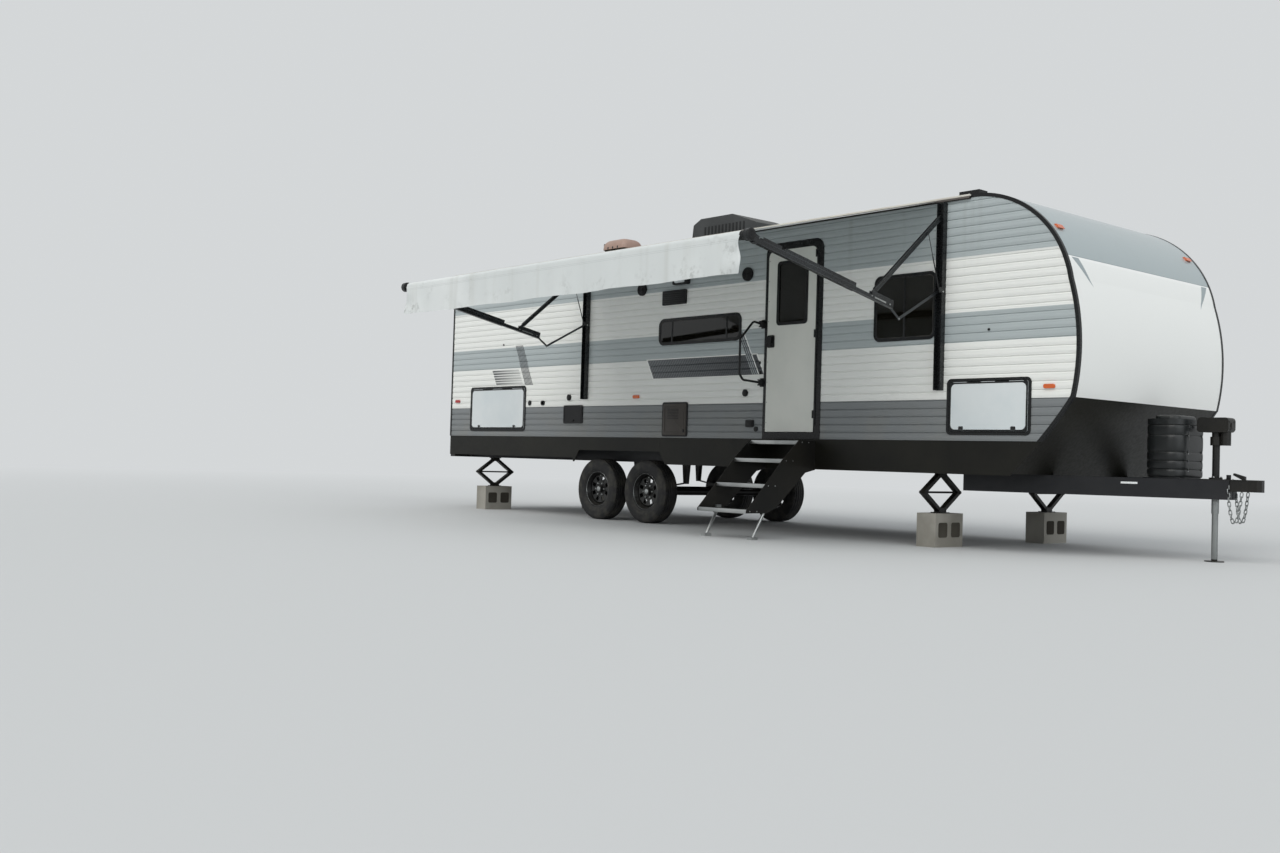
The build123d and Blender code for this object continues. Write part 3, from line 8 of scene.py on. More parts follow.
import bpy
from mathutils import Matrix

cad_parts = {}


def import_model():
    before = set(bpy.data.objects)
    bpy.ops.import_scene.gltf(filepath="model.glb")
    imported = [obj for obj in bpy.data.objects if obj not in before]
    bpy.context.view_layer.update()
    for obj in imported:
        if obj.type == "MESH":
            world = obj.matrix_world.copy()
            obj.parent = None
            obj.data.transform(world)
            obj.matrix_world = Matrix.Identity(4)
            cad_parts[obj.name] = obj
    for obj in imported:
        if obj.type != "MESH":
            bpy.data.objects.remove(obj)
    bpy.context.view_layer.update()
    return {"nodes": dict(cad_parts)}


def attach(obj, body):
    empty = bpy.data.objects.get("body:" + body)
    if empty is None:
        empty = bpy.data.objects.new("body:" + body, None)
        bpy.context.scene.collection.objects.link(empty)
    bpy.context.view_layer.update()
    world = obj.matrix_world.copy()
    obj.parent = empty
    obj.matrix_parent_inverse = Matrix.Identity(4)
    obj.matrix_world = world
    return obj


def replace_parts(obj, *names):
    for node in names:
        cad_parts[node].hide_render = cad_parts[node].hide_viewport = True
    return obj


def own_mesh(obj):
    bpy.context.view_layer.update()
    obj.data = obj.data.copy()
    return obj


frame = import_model()

import math

import bmesh
import bpy
from mathutils import Matrix, Vector

# %% [markdown]
# Caravan people measure along the vehicle from the rear wall, across from its middle, and up from
# the ground. The frame's own zero is at the tow ball, so one small function turns yard
# measurements into frame points. Everything below is written in yard metres, because those can be
# checked against a real caravan with a tape measure.

# %% Yard measurements
BALL_STATION = 9.75      # tow ball, forward of the rear wall
BALL_HEIGHT = 0.6        # tow ball above the ground
HALF = 1.22              # half the body's width over its siding
ROOF_EDGE = 3.003        # roof edge above the ground
KERB, ROAD = -1, 1       # the two sides: door and awning are on the kerb side


def at(station, across, height):
    """A point given in yard metres, in the frame's metres."""
    return Vector((station - BALL_STATION, across, height - BALL_HEIGHT))


def on_side(side, station, height, out=0.0):
    """A point on one side's siding, or out from it."""
    return at(station, side * (HALF + out), height)


print("ground at", round(at(0, 0, 0).z, 3), "roof edge at", round(at(0, 0, ROOF_EDGE).z, 3))

# %% [markdown]
# The camera comes first, since everything is judged through it. Its place was solved from corners
# of the body whose real sizes are known. Blender's camera looks along its own minus Z, so its
# matrix is filled from the picture's right, up and view directions. A track-to constraint would
# be simpler, but it can't hold the slight roll that the hand-held picture has.

# %% The camera
CAMERA_PLACE = (4.550, -10.416, 0.090)
CAMERA_TURN = math.radians(48.944)
CAMERA_PITCH = math.radians(1.453)
CAMERA_ROLL = math.radians(-1.692)
FOCAL_SHARE = 1296.96 / 1280     # focal length as a share of the picture's width
SENSOR = 36.0


def make_camera():
    """A camera object from a turn, a pitch and a roll."""
    level = math.cos(CAMERA_PITCH)
    ahead = Vector((-math.sin(CAMERA_TURN) * level, math.cos(CAMERA_TURN) * level, math.sin(CAMERA_PITCH)))
    side = Vector((math.cos(CAMERA_TURN), math.sin(CAMERA_TURN), 0))
    down = ahead.cross(side)
    right = side * math.cos(CAMERA_ROLL) + down * math.sin(CAMERA_ROLL)
    up = side * math.sin(CAMERA_ROLL) - down * math.cos(CAMERA_ROLL)
    made = bpy.data.objects.new("camera", bpy.data.cameras.new("camera"))
    turn = Matrix((right, up, -ahead)).transposed().to_4x4()
    made.matrix_world = Matrix.Translation(CAMERA_PLACE) @ turn
    made.data.sensor_width = SENSOR
    made.data.lens = SENSOR * FOCAL_SHARE
    made.data.clip_end = 500
    bpy.context.collection.objects.link(made)
    return made


bpy.context.scene.camera = make_camera()
print("lens", round(bpy.context.scene.camera.data.lens, 2), "mm")

# %% [markdown]
# A node material is a small graph. Building one by hand takes a dozen lines for each node, so the
# next cell has short helpers: one adds any shader node and wires its inputs by name, and a few
# more name the jobs that come up again and again, such as a noise, a ramp or a bump. An input
# that is given a plain number is set on the socket, and one that is given a socket is linked.

# %% Helpers for node materials
def add(mat, kind, props=None, **inputs):
    """A shader node, its inputs given by name, or by number as in i0. Underscores stand for spaces."""
    made = mat.node_tree.nodes.new("ShaderNode" + kind)
    for name, value in (props or {}).items():
        setattr(made, name, value)
    for name, value in inputs.items():
        numbered = name[0] == "i" and name[1:].isdigit()
        wire(mat, made.inputs[int(name[1:]) if numbered else name.replace("_", " ")], value)
    return made


def wire(mat, socket, value):
    if isinstance(value, bpy.types.NodeSocket):
        mat.node_tree.links.new(value, socket)
    else:
        socket.default_value = value


def math_node(mat, operation, *values):
    return add(mat, "Math", {"operation": operation}, **{f"i{k}": v for k, v in enumerate(values)}).outputs[0]


def plus(mat, a, b):
    return math_node(mat, "ADD", a, b)


def minus(mat, a, b):
    return math_node(mat, "SUBTRACT", a, b)


def times(mat, a, b):
    return math_node(mat, "MULTIPLY", a, b)


def mix(mat, share, a, b):
    """Mix two colours by a share."""
    return add(mat, "Mix", {"data_type": "RGBA"}, i0=share, i6=a, i7=b).outputs[2]


def rgb(hex_text):
    """A colour picked as sRGB hex, as the linear colour a shader wants."""
    values = [int(hex_text[i:i + 2], 16) / 255 for i in (0, 2, 4)]
    return tuple(v / 12.92 if v <= 0.04045 else ((v + 0.055) / 1.055) ** 2.4 for v in values) + (1.0,)


def shader_of(mat):
    return mat.node_tree.nodes["Principled BSDF"]


def paint(mat, **sockets):
    """Set or link the shader's sockets by name."""
    for key, value in sockets.items():
        wire(mat, shader_of(mat).inputs[key.replace("_", " ")], value)


def new_material(name, color, roughness=0.5, metallic=0.0, **sockets):
    mat = bpy.data.materials.new(name)
    mat.use_nodes = True
    paint(mat, Base_Color=color, Roughness=roughness, Metallic=metallic, **sockets)
    return mat


def place(mat, stretch=(1, 1, 1)):
    """Object coordinates, stretched."""
    return add(mat, "Mapping", Vector=add(mat, "TexCoord").outputs["Object"], Scale=stretch).outputs[0]


def noise(mat, scale, detail=3.0, stretch=(1, 1, 1)):
    spot = place(mat, stretch)
    return add(mat, "TexNoise", Vector=spot, Scale=scale, Detail=detail, Roughness=0.55).outputs["Fac"]


def ramp(mat, value, low, high, to_low=0.0, to_high=1.0, kind="SMOOTHSTEP"):
    """Map one range to another, clamped."""
    ends = {"From_Min": low, "From_Max": high, "To_Min": to_low, "To_Max": to_high}
    return add(mat, "MapRange", {"interpolation_type": kind}, Value=value, **ends).outputs[0]


def bump(mat, height, strength, distance):
    """Press a height into the surface, on top of the bumps that are there."""
    made = add(mat, "Bump", Strength=strength, Distance=distance, Height=height)
    old = shader_of(mat).inputs["Normal"]
    if old.links:
        wire(mat, made.inputs["Normal"], old.links[0].from_socket)
    wire(mat, old, made.outputs[0])


print("material helpers ready")

# %% [markdown]
# The meshes need helpers too. One turns a mesh into an object that rides on a body, and one lays a
# skin through loops of points. The others make the shapes that small hardware is built from:
# bevelled blocks, turned rounds, tubes along a path and rounded plates. Blender's add-mesh
# operators could place primitives, but plain mesh code has no cursor and no surprise names.

# %% Helpers for meshes
SMOOTH_ANGLE = math.radians(35)
finishes = {}    # the materials by name


def finish_mesh(shape, name, finish, body="root", smooth=True):
    """Turn a bmesh into an object with a finish, riding on a body."""
    bmesh.ops.recalc_face_normals(shape, faces=shape.faces)
    data = bpy.data.meshes.new(name)
    shape.to_mesh(data)
    shape.free()
    made = bpy.data.objects.new(name, data)
    bpy.context.collection.objects.link(made)
    data.materials.append(finishes[finish])
    if smooth:
        data.polygons.foreach_set("use_smooth", [True] * len(data.polygons))
        data.set_sharp_from_angle(angle=SMOOTH_ANGLE)
    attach(made, body)
    return made


def add_skin(shape, loops, ends=True, closed=False):
    """A skin through loops of points, one after the other. Its ends are filled, or it closes on itself."""
    rings = [[shape.verts.new(point) for point in loop] for loop in loops]
    for one, two in zip(rings, rings[1:] + rings[:1] if closed else rings[1:]):
        for j in range(len(one)):
            k = (j + 1) % len(one)
            shape.faces.new((one[j], one[k], two[k], two[j]))
    if ends and not closed:
        shape.faces.new(rings[0][::-1])
        shape.faces.new(rings[-1])


def circle(centre, first, second, radius, steps):
    """Points round a centre, in the plane of two directions."""
    turns = [2 * math.pi * k / steps for k in range(steps)]
    return [centre + (first * math.cos(t) + second * math.sin(t)) * radius for t in turns]


def add_block(shape, low, high, bevel=0.0, steps=2):
    """A block between two corners, with softened edges."""
    middle = (Vector(low) + Vector(high)) / 2
    size = Vector(high) - Vector(low)
    grid = Matrix.Translation(middle) @ Matrix.Diagonal((*[abs(v) for v in size], 1))
    made = bmesh.ops.create_cube(shape, size=1.0, matrix=grid)
    if bevel:
        edges = {e for v in made["verts"] for e in v.link_edges}
        bmesh.ops.bevel(shape, geom=list(edges), offset=bevel, segments=steps, affect="EDGES", profile=0.5)


def add_lathe(shape, profile, centre, axis, steps=32):
    """Spin (radius, along) points round an axis through a centre."""
    way = Vector(axis).normalized()
    first = way.orthogonal().normalized()
    second = way.cross(first)
    rings = []
    for radius, along in profile:
        base = Vector(centre) + way * along
        points = [base] if radius < 1e-6 else circle(base, first, second, radius, steps)
        rings.append([shape.verts.new(point) for point in points])
    for one, two in zip(rings, rings[1:]):
        for k in range(steps):
            a, b = one[k % len(one)], one[(k + 1) % len(one)]
            c, d = two[(k + 1) % len(two)], two[k % len(two)]
            corners = [v for v, kept in zip((a, b, c, d), (True, a != b, True, c != d)) if kept]
            if len(set(corners)) > 2:
                shape.faces.new(corners)


def add_tube(shape, points, radius, steps=10, closed=False):
    """A round tube through points, with its ends closed."""
    points = [Vector(p) for p in points]
    count = len(points)
    loops, side = [], None
    for k, point in enumerate(points):
        before = points[(k - 1) % count] if closed or k else point
        after = points[(k + 1) % count] if closed or k < count - 1 else point
        way = (after - before).normalized()
        side = way.orthogonal() if side is None else side - way * side.dot(way)
        side.normalize()
        loops.append(circle(point, side, way.cross(side), radius, steps))
    add_skin(shape, loops, closed=closed)


def rounded_outline(width, height, radius, steps=6):
    """Points of a rounded rectangle about the middle."""
    points = []
    for quarter, (sx, sz) in enumerate(((1, 1), (-1, 1), (-1, -1), (1, -1))):
        cx, cz = sx * (width / 2 - radius), sz * (height / 2 - radius)
        for k in range(steps + 1):
            t = math.pi / 2 * (quarter + k / steps)
            points.append((cx + radius * math.cos(t), cz + radius * math.sin(t)))
    return points


def add_plate(shape, outline, centre, right, up, thick, edge=0.0):
    """A flat plate from an outline in the plane of right and up, raised along their normal. edge softens
    the raised rim."""
    right, up = Vector(right).normalized(), Vector(up).normalized()
    out = right.cross(up)
    width = max(x for x, z in outline) * 2
    height = max(z for x, z in outline) * 2
    levels = [(0.0, 0.0), (thick, 0.0)]
    if edge:
        levels = [(0.0, 0.0), (thick - edge, 0.0), (thick - edge * 0.3, edge * 0.3), (thick, edge)]
    loops = []
    for level, inset in levels:
        kx, kz = 1 - inset * 2 / width, 1 - inset * 2 / height
        loops.append([Vector(centre) + right * x * kx + up * z * kz + out * level for x, z in outline])
    add_skin(shape, loops)


def side_axes(side):
    """Right and up directions whose normal points out of one side."""
    return Vector((-side, 0, 0)), Vector((0, 0, 1))


print("mesh helpers ready")

# %% [markdown]
# The floor comes next, so that every finish is judged in its light. It is a plain pale studio
# floor. A floor that simply ends would draw a hard line behind the caravan, and a curved paper
# wall would stand in the way of other views, so this floor is one wide disc whose colour turns
# into the background's with distance.

# %% Studio floor
MIDDLE = at(4.9, 0, 0)                    # on the ground, under the caravan's middle
FLOOR_REACH = 120.0
FLOOR_TONE = (0.58, 0.59, 0.59, 1.0)
PAPER_TONE = (0.66, 0.68, 0.69, 1.0)      # what the camera sees behind the floor
FADE_FROM, FADE_TO = 7.0, 30.0            # distance from the caravan's middle


def floor_material():
    mat = new_material("stage floor", FLOOR_TONE, 0.85, Specular_IOR_Level=0.1)
    split = add(mat, "SeparateXYZ", Vector=place(mat)).outputs
    ahead = minus(mat, split["X"], MIDDLE.x)
    squares = math_node(mat, "MULTIPLY_ADD", ahead, ahead, times(mat, split["Y"], split["Y"]))
    share = ramp(mat, math_node(mat, "SQRT", squares), FADE_FROM, FADE_TO)
    paper = add(mat, "Emission", Color=PAPER_TONE, Strength=1.0).outputs[0]
    blend = add(mat, "MixShader", i0=share, i1=shader_of(mat).outputs[0], i2=paper).outputs[0]
    wire(mat, mat.node_tree.nodes["Material Output"].inputs["Surface"], blend)
    return mat


def add_floor():
    shape = bmesh.new()
    where = Matrix.Translation(MIDDLE)
    bmesh.ops.create_circle(shape, cap_ends=True, radius=FLOOR_REACH, segments=96, matrix=where)
    finish_mesh(shape, "stage floor", "stage floor", smooth=False)


finishes["stage floor"] = floor_material()
add_floor()
print("floor laid at", round(MIDDLE.z, 3))

# %% [markdown]
# Plain soft studio light: a pale world that is a little brighter overhead, and two very broad
# lamps, the stronger on the door side. They are sun lamps with a wide angle, because a soft box
# near a ten metre caravan would be bright at one end and dim at the other, and a distant broad
# source is even. The level is one where a paint renders about as it is written, so the finishes
# also hold under other light. The camera, the gloss and the glass see the plain paper tone.

# %% World and lights
SKY_LOW = (0.34, 0.35, 0.36, 1.0)
SKY_HIGH = (0.66, 0.68, 0.70, 1.0)
# name: strength, the direction it shines from, spread in degrees, tint
LAMPS = {
    "door side lamp": (1.45, (0.10, -1.0, 0.95), 50, (1.0, 0.99, 0.96)),
    "nose side lamp": (0.95, (1.0, -0.25, 0.55), 60, (0.94, 0.98, 1.0)),
}


def make_lamp(name, strength, from_way, spread, tint):
    data = bpy.data.lights.new(name, "SUN")
    data.energy = strength
    data.color = tint
    data.angle = math.radians(spread)
    made = bpy.data.objects.new(name, data)
    made.rotation_euler = Vector(from_way).to_track_quat("Z", "Y").to_euler()
    bpy.context.collection.objects.link(made)


def make_world():
    world = bpy.data.worlds.new("studio")
    bpy.context.scene.world = world
    world.use_nodes = True
    up = add(world, "SeparateXYZ", i0=add(world, "TexCoord").outputs["Generated"]).outputs["Z"]
    sky = mix(world, ramp(world, up, 0.0, 0.9, kind="LINEAR"), SKY_LOW, SKY_HIGH)
    rays = add(world, "LightPath").outputs
    sharp = math_node(world, "MAXIMUM", rays["Is Glossy Ray"], rays["Is Transmission Ray"])
    seen = math_node(world, "MAXIMUM", rays["Is Camera Ray"], sharp)
    background = world.node_tree.nodes["Background"].inputs
    wire(world, background["Color"], mix(world, seen, sky, PAPER_TONE))
    wire(world, background["Strength"], 1.0)


make_world()
for name, values in LAMPS.items():
    make_lamp(name, *values)
bpy.context.scene.view_settings.view_transform = "Standard"
print("lit by a pale world and", len(LAMPS), "broad lamps")

# %% [markdown]
# The siding is one ribbed aluminium skin whose colours are painted on in level bands. Its bands
# and stripes are easiest as a node material, because object coordinates are already real metres:
# a band is a comparison of height, and a slanted stripe is a comparison of station plus a share
# of height. Image textures or separate face materials would need unwrapping or cut faces. The
# skin also wears: rain draws faint streaks down from the roof edge, and road dust sits low.

# %% Siding
SILL, WAIST, RAIL, HIGH = 1.276, 1.755, 2.010, 2.480    # heights where the bands change
WHITE_PAINT = rgb("e6e7e3")
SHADE_PAINT = rgb("a9b1b2")
SLATE_PAINT = rgb("75797b")
STRIPE_PAINT = rgb("33363a")
LINE_PAINT = rgb("f2f2ef")
SIDING_FOOT = 0.927     # the lowest lap starts here
LAP = 0.0698            # height of one lap of the siding
# lean, rear and front end, low and high edge, and the height at which the ends are measured
STRIPES = {
    "main": (0.53, 3.886, 5.502, 1.556, 1.755, 1.655), "rim": (0.53, 3.868, 5.520, 1.546, 1.765, 1.655),
    "tail": (0.521, 5.290, 5.372, 1.561, 1.981, 1.771), "edge": (0.521, 5.372, 5.384, 1.561, 1.990, 1.771),
    "rear block": (0.55, 0.965, 1.52, 1.553, 1.737, 1.645),
    "rear tail": (0.45, 1.50, 1.66, 1.542, 2.028, 1.785),
}


def dress(node, mat):
    """Give one construction piece its material."""
    worn = frame["nodes"][node].data.materials
    worn.clear()
    worn.append(mat)


def yard_axes(mat):
    """Station and height in yard metres, and the distance across, as sockets."""
    split = add(mat, "SeparateXYZ", Vector=place(mat)).outputs
    return plus(mat, split["X"], BALL_STATION), plus(mat, split["Z"], BALL_HEIGHT), split["Y"]


def past(mat, value, limit, soft=0.002):
    """A mask that is one past a limit."""
    return ramp(mat, value, limit - soft, limit + soft)


def before(mat, value, limit, soft=0.002):
    return ramp(mat, value, limit - soft, limit + soft, 1.0, 0.0)


def between(mat, value, low, high, soft=0.002):
    return times(mat, past(mat, value, low, soft), before(mat, value, high, soft))


def slanted(mat, station, height, lean, rear, front, low, high, middle):
    """A mask for a parallelogram whose ends lean."""
    moved = math_node(mat, "MULTIPLY_ADD", minus(mat, height, middle), lean, station)
    return times(mat, between(mat, moved, rear, front), between(mat, height, low, high))


def sawtooth(mat, value, pitch):
    """A share that runs from zero to one over each pitch."""
    return math_node(mat, "FRACT", math_node(mat, "DIVIDE", value, pitch))


def weather(mat, tone, height, top, foot, amount=1.0):
    """Faint streaks from a top edge and dust near a foot."""
    streak = ramp(mat, noise(mat, 9.0, 3, (1.0, 1.0, 0.03)), 0.52, 0.72, 0.0, 0.16 * amount)
    tone = mix(mat, times(mat, streak, ramp(mat, height, top - 0.9, top)), tone, rgb("6d6a5e"))
    dust = ramp(mat, noise(mat, 2.2, 4), 0.4, 0.7, 0.03, 0.22 * amount)
    return mix(mat, times(mat, dust, ramp(mat, height, foot, foot + 0.5, 1.0, 0.0)), tone, rgb("8b8371"))


def siding_material():
    mat = new_material("siding paint", WHITE_PAINT)
    station, height, _ = yard_axes(mat)
    mask = {name: slanted(mat, station, height, *sizes) for name, sizes in STRIPES.items()}
    tone = mix(mat, between(mat, height, WAIST, RAIL), WHITE_PAINT, SHADE_PAINT)
    tone = mix(mat, past(mat, height, HIGH), tone, SHADE_PAINT)
    tone = mix(mat, before(mat, height, SILL), tone, SLATE_PAINT)
    # The main stripe, with its hatched tail that climbs over the grey band.
    lines = ramp(mat, sawtooth(mat, math_node(mat, "MULTIPLY_ADD", height, 0.53, station), 0.026), 0.40, 0.52)
    worn = times(mat, lines, ramp(mat, station, 3.9, 5.4, 0.55, 0.10))
    tone = mix(mat, mask["rim"], tone, LINE_PAINT)
    tone = mix(mat, mask["main"], tone, mix(mat, worn, STRIPE_PAINT, rgb("8d9294")))
    tone = mix(mat, mask["tail"], tone, mix(mat, lines, STRIPE_PAINT, rgb("9aa0a2")))
    tone = mix(mat, mask["edge"], tone, LINE_PAINT)
    # The rear stripes fade forward, and a second tail crosses the grey band.
    bars = ramp(mat, sawtooth(mat, height, 0.031), 0.25, 0.35)
    fading = times(mat, ramp(mat, station, 0.95, 1.55, 0.95, 0.25, "LINEAR"), bars)
    tone = mix(mat, times(mat, mask["rear block"], fading), tone, STRIPE_PAINT)
    tone = mix(mat, times(mat, mask["rear tail"], ramp(mat, lines, 0.0, 1.0, 0.95, 0.35)), tone, STRIPE_PAINT)
    paint(mat, Base_Color=weather(mat, tone, height, ROOF_EDGE, SIDING_FOOT),
          Roughness=ramp(mat, noise(mat, 3.0, 4), 0.3, 0.7, 0.30, 0.44))
    lap = sawtooth(mat, minus(mat, height, SIDING_FOOT), LAP)
    roll = plus(mat, ramp(mat, lap, 0.0, 0.34), ramp(mat, lap, 0.46, 0.60, 0.0, -0.35))
    roll = plus(mat, roll, ramp(mat, lap, 0.62, 0.98, 0.0, 0.35))
    bump(mat, roll, 0.9, 0.0035)
    bump(mat, noise(mat, 1.3, 2, (1, 1, 2.5)), 0.35, 0.010)
    bump(mat, noise(mat, 260, 2), 0.04, 0.0006)
    return mat


dress("siding", siding_material())
print("siding bands at", SILL, WAIST, RAIL, HIGH)

# %% [markdown]
# The front cap is one smooth moulding with a clear gel coat. Its top is a pale grey, parted from
# the white by a level line, with a pale band just under the line that is a painted highlight, and two
# slim grey wedges under its ends. Gel coat is told from paint by its second, sharper reflection, so
# this material has a coat layer.

# %% Front cap
CAP_LINE = 2.410
CAP_TOP, CAP_FOOT = 2.95, 1.0
WEDGE_DROP = 0.24       # how far the wedges hang from the line


def cap_material():
    mat = new_material("cap gel coat", WHITE_PAINT, 0.38, Coat_Weight=0.55, Coat_Roughness=0.12)
    station, height, across = yard_axes(mat)
    tone = mix(mat, past(mat, height, CAP_LINE), rgb("e9eae7"), rgb("a4acad"))
    # A pale band fades in just under the line: a painted highlight, not a paint colour.
    tone = mix(mat, ramp(mat, height, CAP_LINE - 0.040, CAP_LINE, 0.0, 0.7), tone, rgb("f6f6f4"))
    tone = mix(mat, past(mat, height, CAP_LINE, 0.001), tone, rgb("9ba6a8"))
    tone = mix(mat, between(mat, height, CAP_LINE - 0.003, CAP_LINE + 0.003, 0.001), tone, rgb("7c888a"))
    # Two slim wedges hang from the line: wide at the line, and leaning inward to a point.
    drop = minus(mat, CAP_LINE, height)
    inner = math_node(mat, "MULTIPLY_ADD", drop, -0.583, 1.050)
    from_inner = minus(mat, math_node(mat, "ABSOLUTE", across), inner)
    to_outer = minus(mat, math_node(mat, "MULTIPLY_ADD", drop, -0.45, 0.108), from_inner)
    wedge = times(mat, past(mat, from_inner, 0.0), past(mat, to_outer, 0.0))
    wedge = times(mat, wedge, between(mat, height, CAP_LINE - WEDGE_DROP, CAP_LINE - 0.012))
    wedge = times(mat, wedge, ramp(mat, station, 8.55, 8.56))
    tone = mix(mat, wedge, tone, rgb("8d989b"))
    paint(mat, Base_Color=weather(mat, tone, height, CAP_TOP, CAP_FOOT, 0.35))
    bump(mat, noise(mat, 1.1, 2), 0.12, 0.02)
    bump(mat, noise(mat, 420, 2), 0.03, 0.0004)
    return mat


dress("front_cap", cap_material())
print("cap parted at", CAP_LINE)

# %% [markdown]
# Everything else made of one stuff shares one material. A short table gives each its colours, its
# gloss, the size of its grain and how dusty it gets, and one function builds the node graph: a
# mottled base, a roughness that varies, a fine bump and dust that gathers on faces that look up.
# Dust from the geometry's normal is cheap and reads as wear from any side.

# %% Plain finishes
# name: colour, second colour, roughness, metallic, specular, grain size, bump in metres, dust, record slot
FINISHES = {
    "roof membrane": ("cfcfc9", "c2c2bb", 0.62, 0.0, 0.4, 6.0, 0.0008, 0.14, "roof_membrane"),
    "black extrusion": ("0c0e10", "121416", 0.30, 0.0, 0.30, 90.0, 0.0002, 0.03, "black_trim"),
    "black moulding": ("0f1012", "16181a", 0.42, 0.0, 0.25, 220.0, 0.0003, 0.05, "black_plastic"),
    "tub moulding": ("0f1316", "161b1e", 0.34, 0.0, 0.40, 160.0, 0.0003, 0.08, "black_plastic"),
    "black sheet": ("0c0c09", "13130e", 0.40, 0.0, 0.22, 40.0, 0.0002, 0.05, ""),
    "door skin": ("d3d5ce", "dcddd6", 0.36, 0.0, 0.4, 320.0, 0.0002, 0.05, "white_door"),
    "pale panel": ("ccd3d5", "d5dadb", 0.33, 0.0, 0.4, 320.0, 0.0002, 0.06, "pale_panel"),
    "white liner": ("c9c4b8", "bdb7a9", 0.60, 0.0, 0.4, 60.0, 0.0002, 0.05, "wall_panel"),
    "floor board": ("5f6263", "4f5253", 0.62, 0.0, 0.4, 12.0, 0.0006, 0.20, ""),
    "chassis paint": ("0d1017", "14171d", 0.40, 0.0, 0.30, 18.0, 0.0004, 0.10, ""),
    "black steel": ("0c0d0e", "151412", 0.38, 0.0, 0.30, 40.0, 0.0003, 0.07, "black_steel"),
    "bright zinc": ("b4b6b5", "8f9292", 0.34, 0.9, 0.5, 40.0, 0.0003, 0.08, "zinc"),
    "rim steel": ("1b1c1e", "2a2b2c", 0.36, 0.4, 0.5, 60.0, 0.0003, 0.12, "rim_paint"),
    "concrete": ("a29f97", "87847c", 0.90, 0.0, 0.3, 55.0, 0.0025, 0.10, ""),
    "step metal": ("0f1012", "191a1b", 0.46, 0.2, 0.30, 120.0, 0.0005, 0.08, "step_metal"),
    "arm metal": ("121416", "1d2124", 0.28, 0.2, 0.5, 70.0, 0.0002, 0.04, "awning_metal"),
    # The links' own colour. On the arms' edge strips the same finish is a painted highlight.
    "link metal": ("34373a", "44474a", 0.32, 0.3, 0.5, 70.0, 0.0002, 0.04, "awning_metal"),
    "gutter strip": ("c9c6be", "b3aea4", 0.50, 0.0, 0.4, 30.0, 0.0004, 0.10, "roof_membrane"),
    # The awning rail's grey-brown paints the shade that the gutter casts on the rail.
    "rail metal in gutter shade": ("5f5955", "504a46", 0.42, 0.2, 0.4, 30.0, 0.0003, 0.08, "awning_metal"),
    "reflector": ("e4e6e6", "d8dada", 0.25, 0.0, 0.5, 200.0, 0.0002, 0.02, "pale_panel"),
    "roof shroud": ("272a2c", "34373a", 0.55, 0.0, 0.4, 160.0, 0.0004, 0.12, "roof_plastic"),
    "vent plastic": ("a3897d", "8d7268", 0.42, 0.0, 0.4, 90.0, 0.0003, 0.10, "vent_plastic"),
    "brown door": ("35302d", "403b37", 0.50, 0.0, 0.35, 120.0, 0.0003, 0.10, "black_plastic"),
    "core shadow": ("3f3c37", "4b4842", 0.95, 0.0, 0.1, 60.0, 0.0010, 0.10, "concrete"),
}
DUST = rgb("8f8775")


def finish_material(name):
    first, second, rough, metal, specular, grain, deep, dust, _ = FINISHES[name]
    mat = new_material(name, rgb(first), rough, metal, Specular_IOR_Level=specular)
    mottle = noise(mat, grain, 4)
    broad = noise(mat, 1.7, 4)
    tone = mix(mat, ramp(mat, broad, 0.35, 0.65), rgb(first), rgb(second))
    up = add(mat, "SeparateXYZ", Vector=add(mat, "NewGeometry").outputs["Normal"]).outputs["Z"]
    laid = times(mat, ramp(mat, up, 0.2, 0.95, dust * 0.35, dust), ramp(mat, broad, 0.3, 0.7, 0.5, 1.0))
    grainy = ramp(mat, mottle, 0.3, 0.7, rough - 0.05, rough + 0.06)
    paint(mat, Base_Color=mix(mat, laid, tone, DUST))
    paint(mat, Roughness=math_node(mat, "MULTIPLY_ADD", laid, 0.35, grainy))
    bump(mat, mottle, 0.5, deep)
    return mat


for name, (*_, slot) in FINISHES.items():
    finishes[name] = finish_material(name)
print(len(FINISHES), "plain finishes")

# %% [markdown]
# Glass, lenses and rubber are the three that the table can't describe. Tinted caravan glass is
# dark acrylic: it lets a little light through and mirrors the room. A lens is clear plastic in
# its own colour with ribs inside, and a faint painted glow, though its lamp is off. Tyre rubber is
# nearly black, dull, and greyer where it is dusty.
# A moving door is one piece with its hinge leaves, so its skin turns black past a limit. Cut faces
# with two materials would do the same, but they would change the construction piece.

# %% Glass, lenses and rubber
def glass_material():
    mat = new_material("tinted glass", rgb("17150f"), 0.035, 0.0, IOR=1.49, Transmission_Weight=0.45)
    paint(mat, Roughness=ramp(mat, noise(mat, 2.4, 4), 0.45, 0.75, 0.02, 0.07))
    bump(mat, noise(mat, 1.6, 1), 0.05, 0.01)
    return mat


def lens_material(name, tone, painted_glow):
    mat = new_material(name, tone, 0.12, 0.0, IOR=1.49, Coat_Weight=0.3)
    # The faint emission is a painted glow: the lamps are not lit.
    paint(mat, Emission_Color=tone, Emission_Strength=painted_glow)
    station, _, across = yard_axes(mat)
    ribs = math_node(mat, "SINE", times(mat, plus(mat, station, across), 900.0))
    bump(mat, ribs, 0.10, 0.0002)
    return mat


def rubber_material():
    mat = new_material("tyre rubber", rgb("1c1c1d"), 0.72)
    grime = noise(mat, 7, 5)
    paint(mat, Base_Color=mix(mat, ramp(mat, grime, 0.42, 0.68, 0.0, 0.55), rgb("161617"), rgb("4b4840")))
    bump(mat, noise(mat, 180, 3), 0.35, 0.0005)
    return mat


def leaf_material(name, base, axis, limit):
    """A door skin that turns black past a limit, where its hinge leaves reach over the frame."""
    mat = finish_material(base)
    mat.name = name
    tone = shader_of(mat).inputs["Base Color"].links[0].from_socket
    paint(mat, Base_Color=mix(mat, past(mat, yard_axes(mat)[axis], limit, 0.0005), tone, rgb("0c0e10")))
    return mat


STATION_AXIS, HEIGHT_AXIS = 0, 1
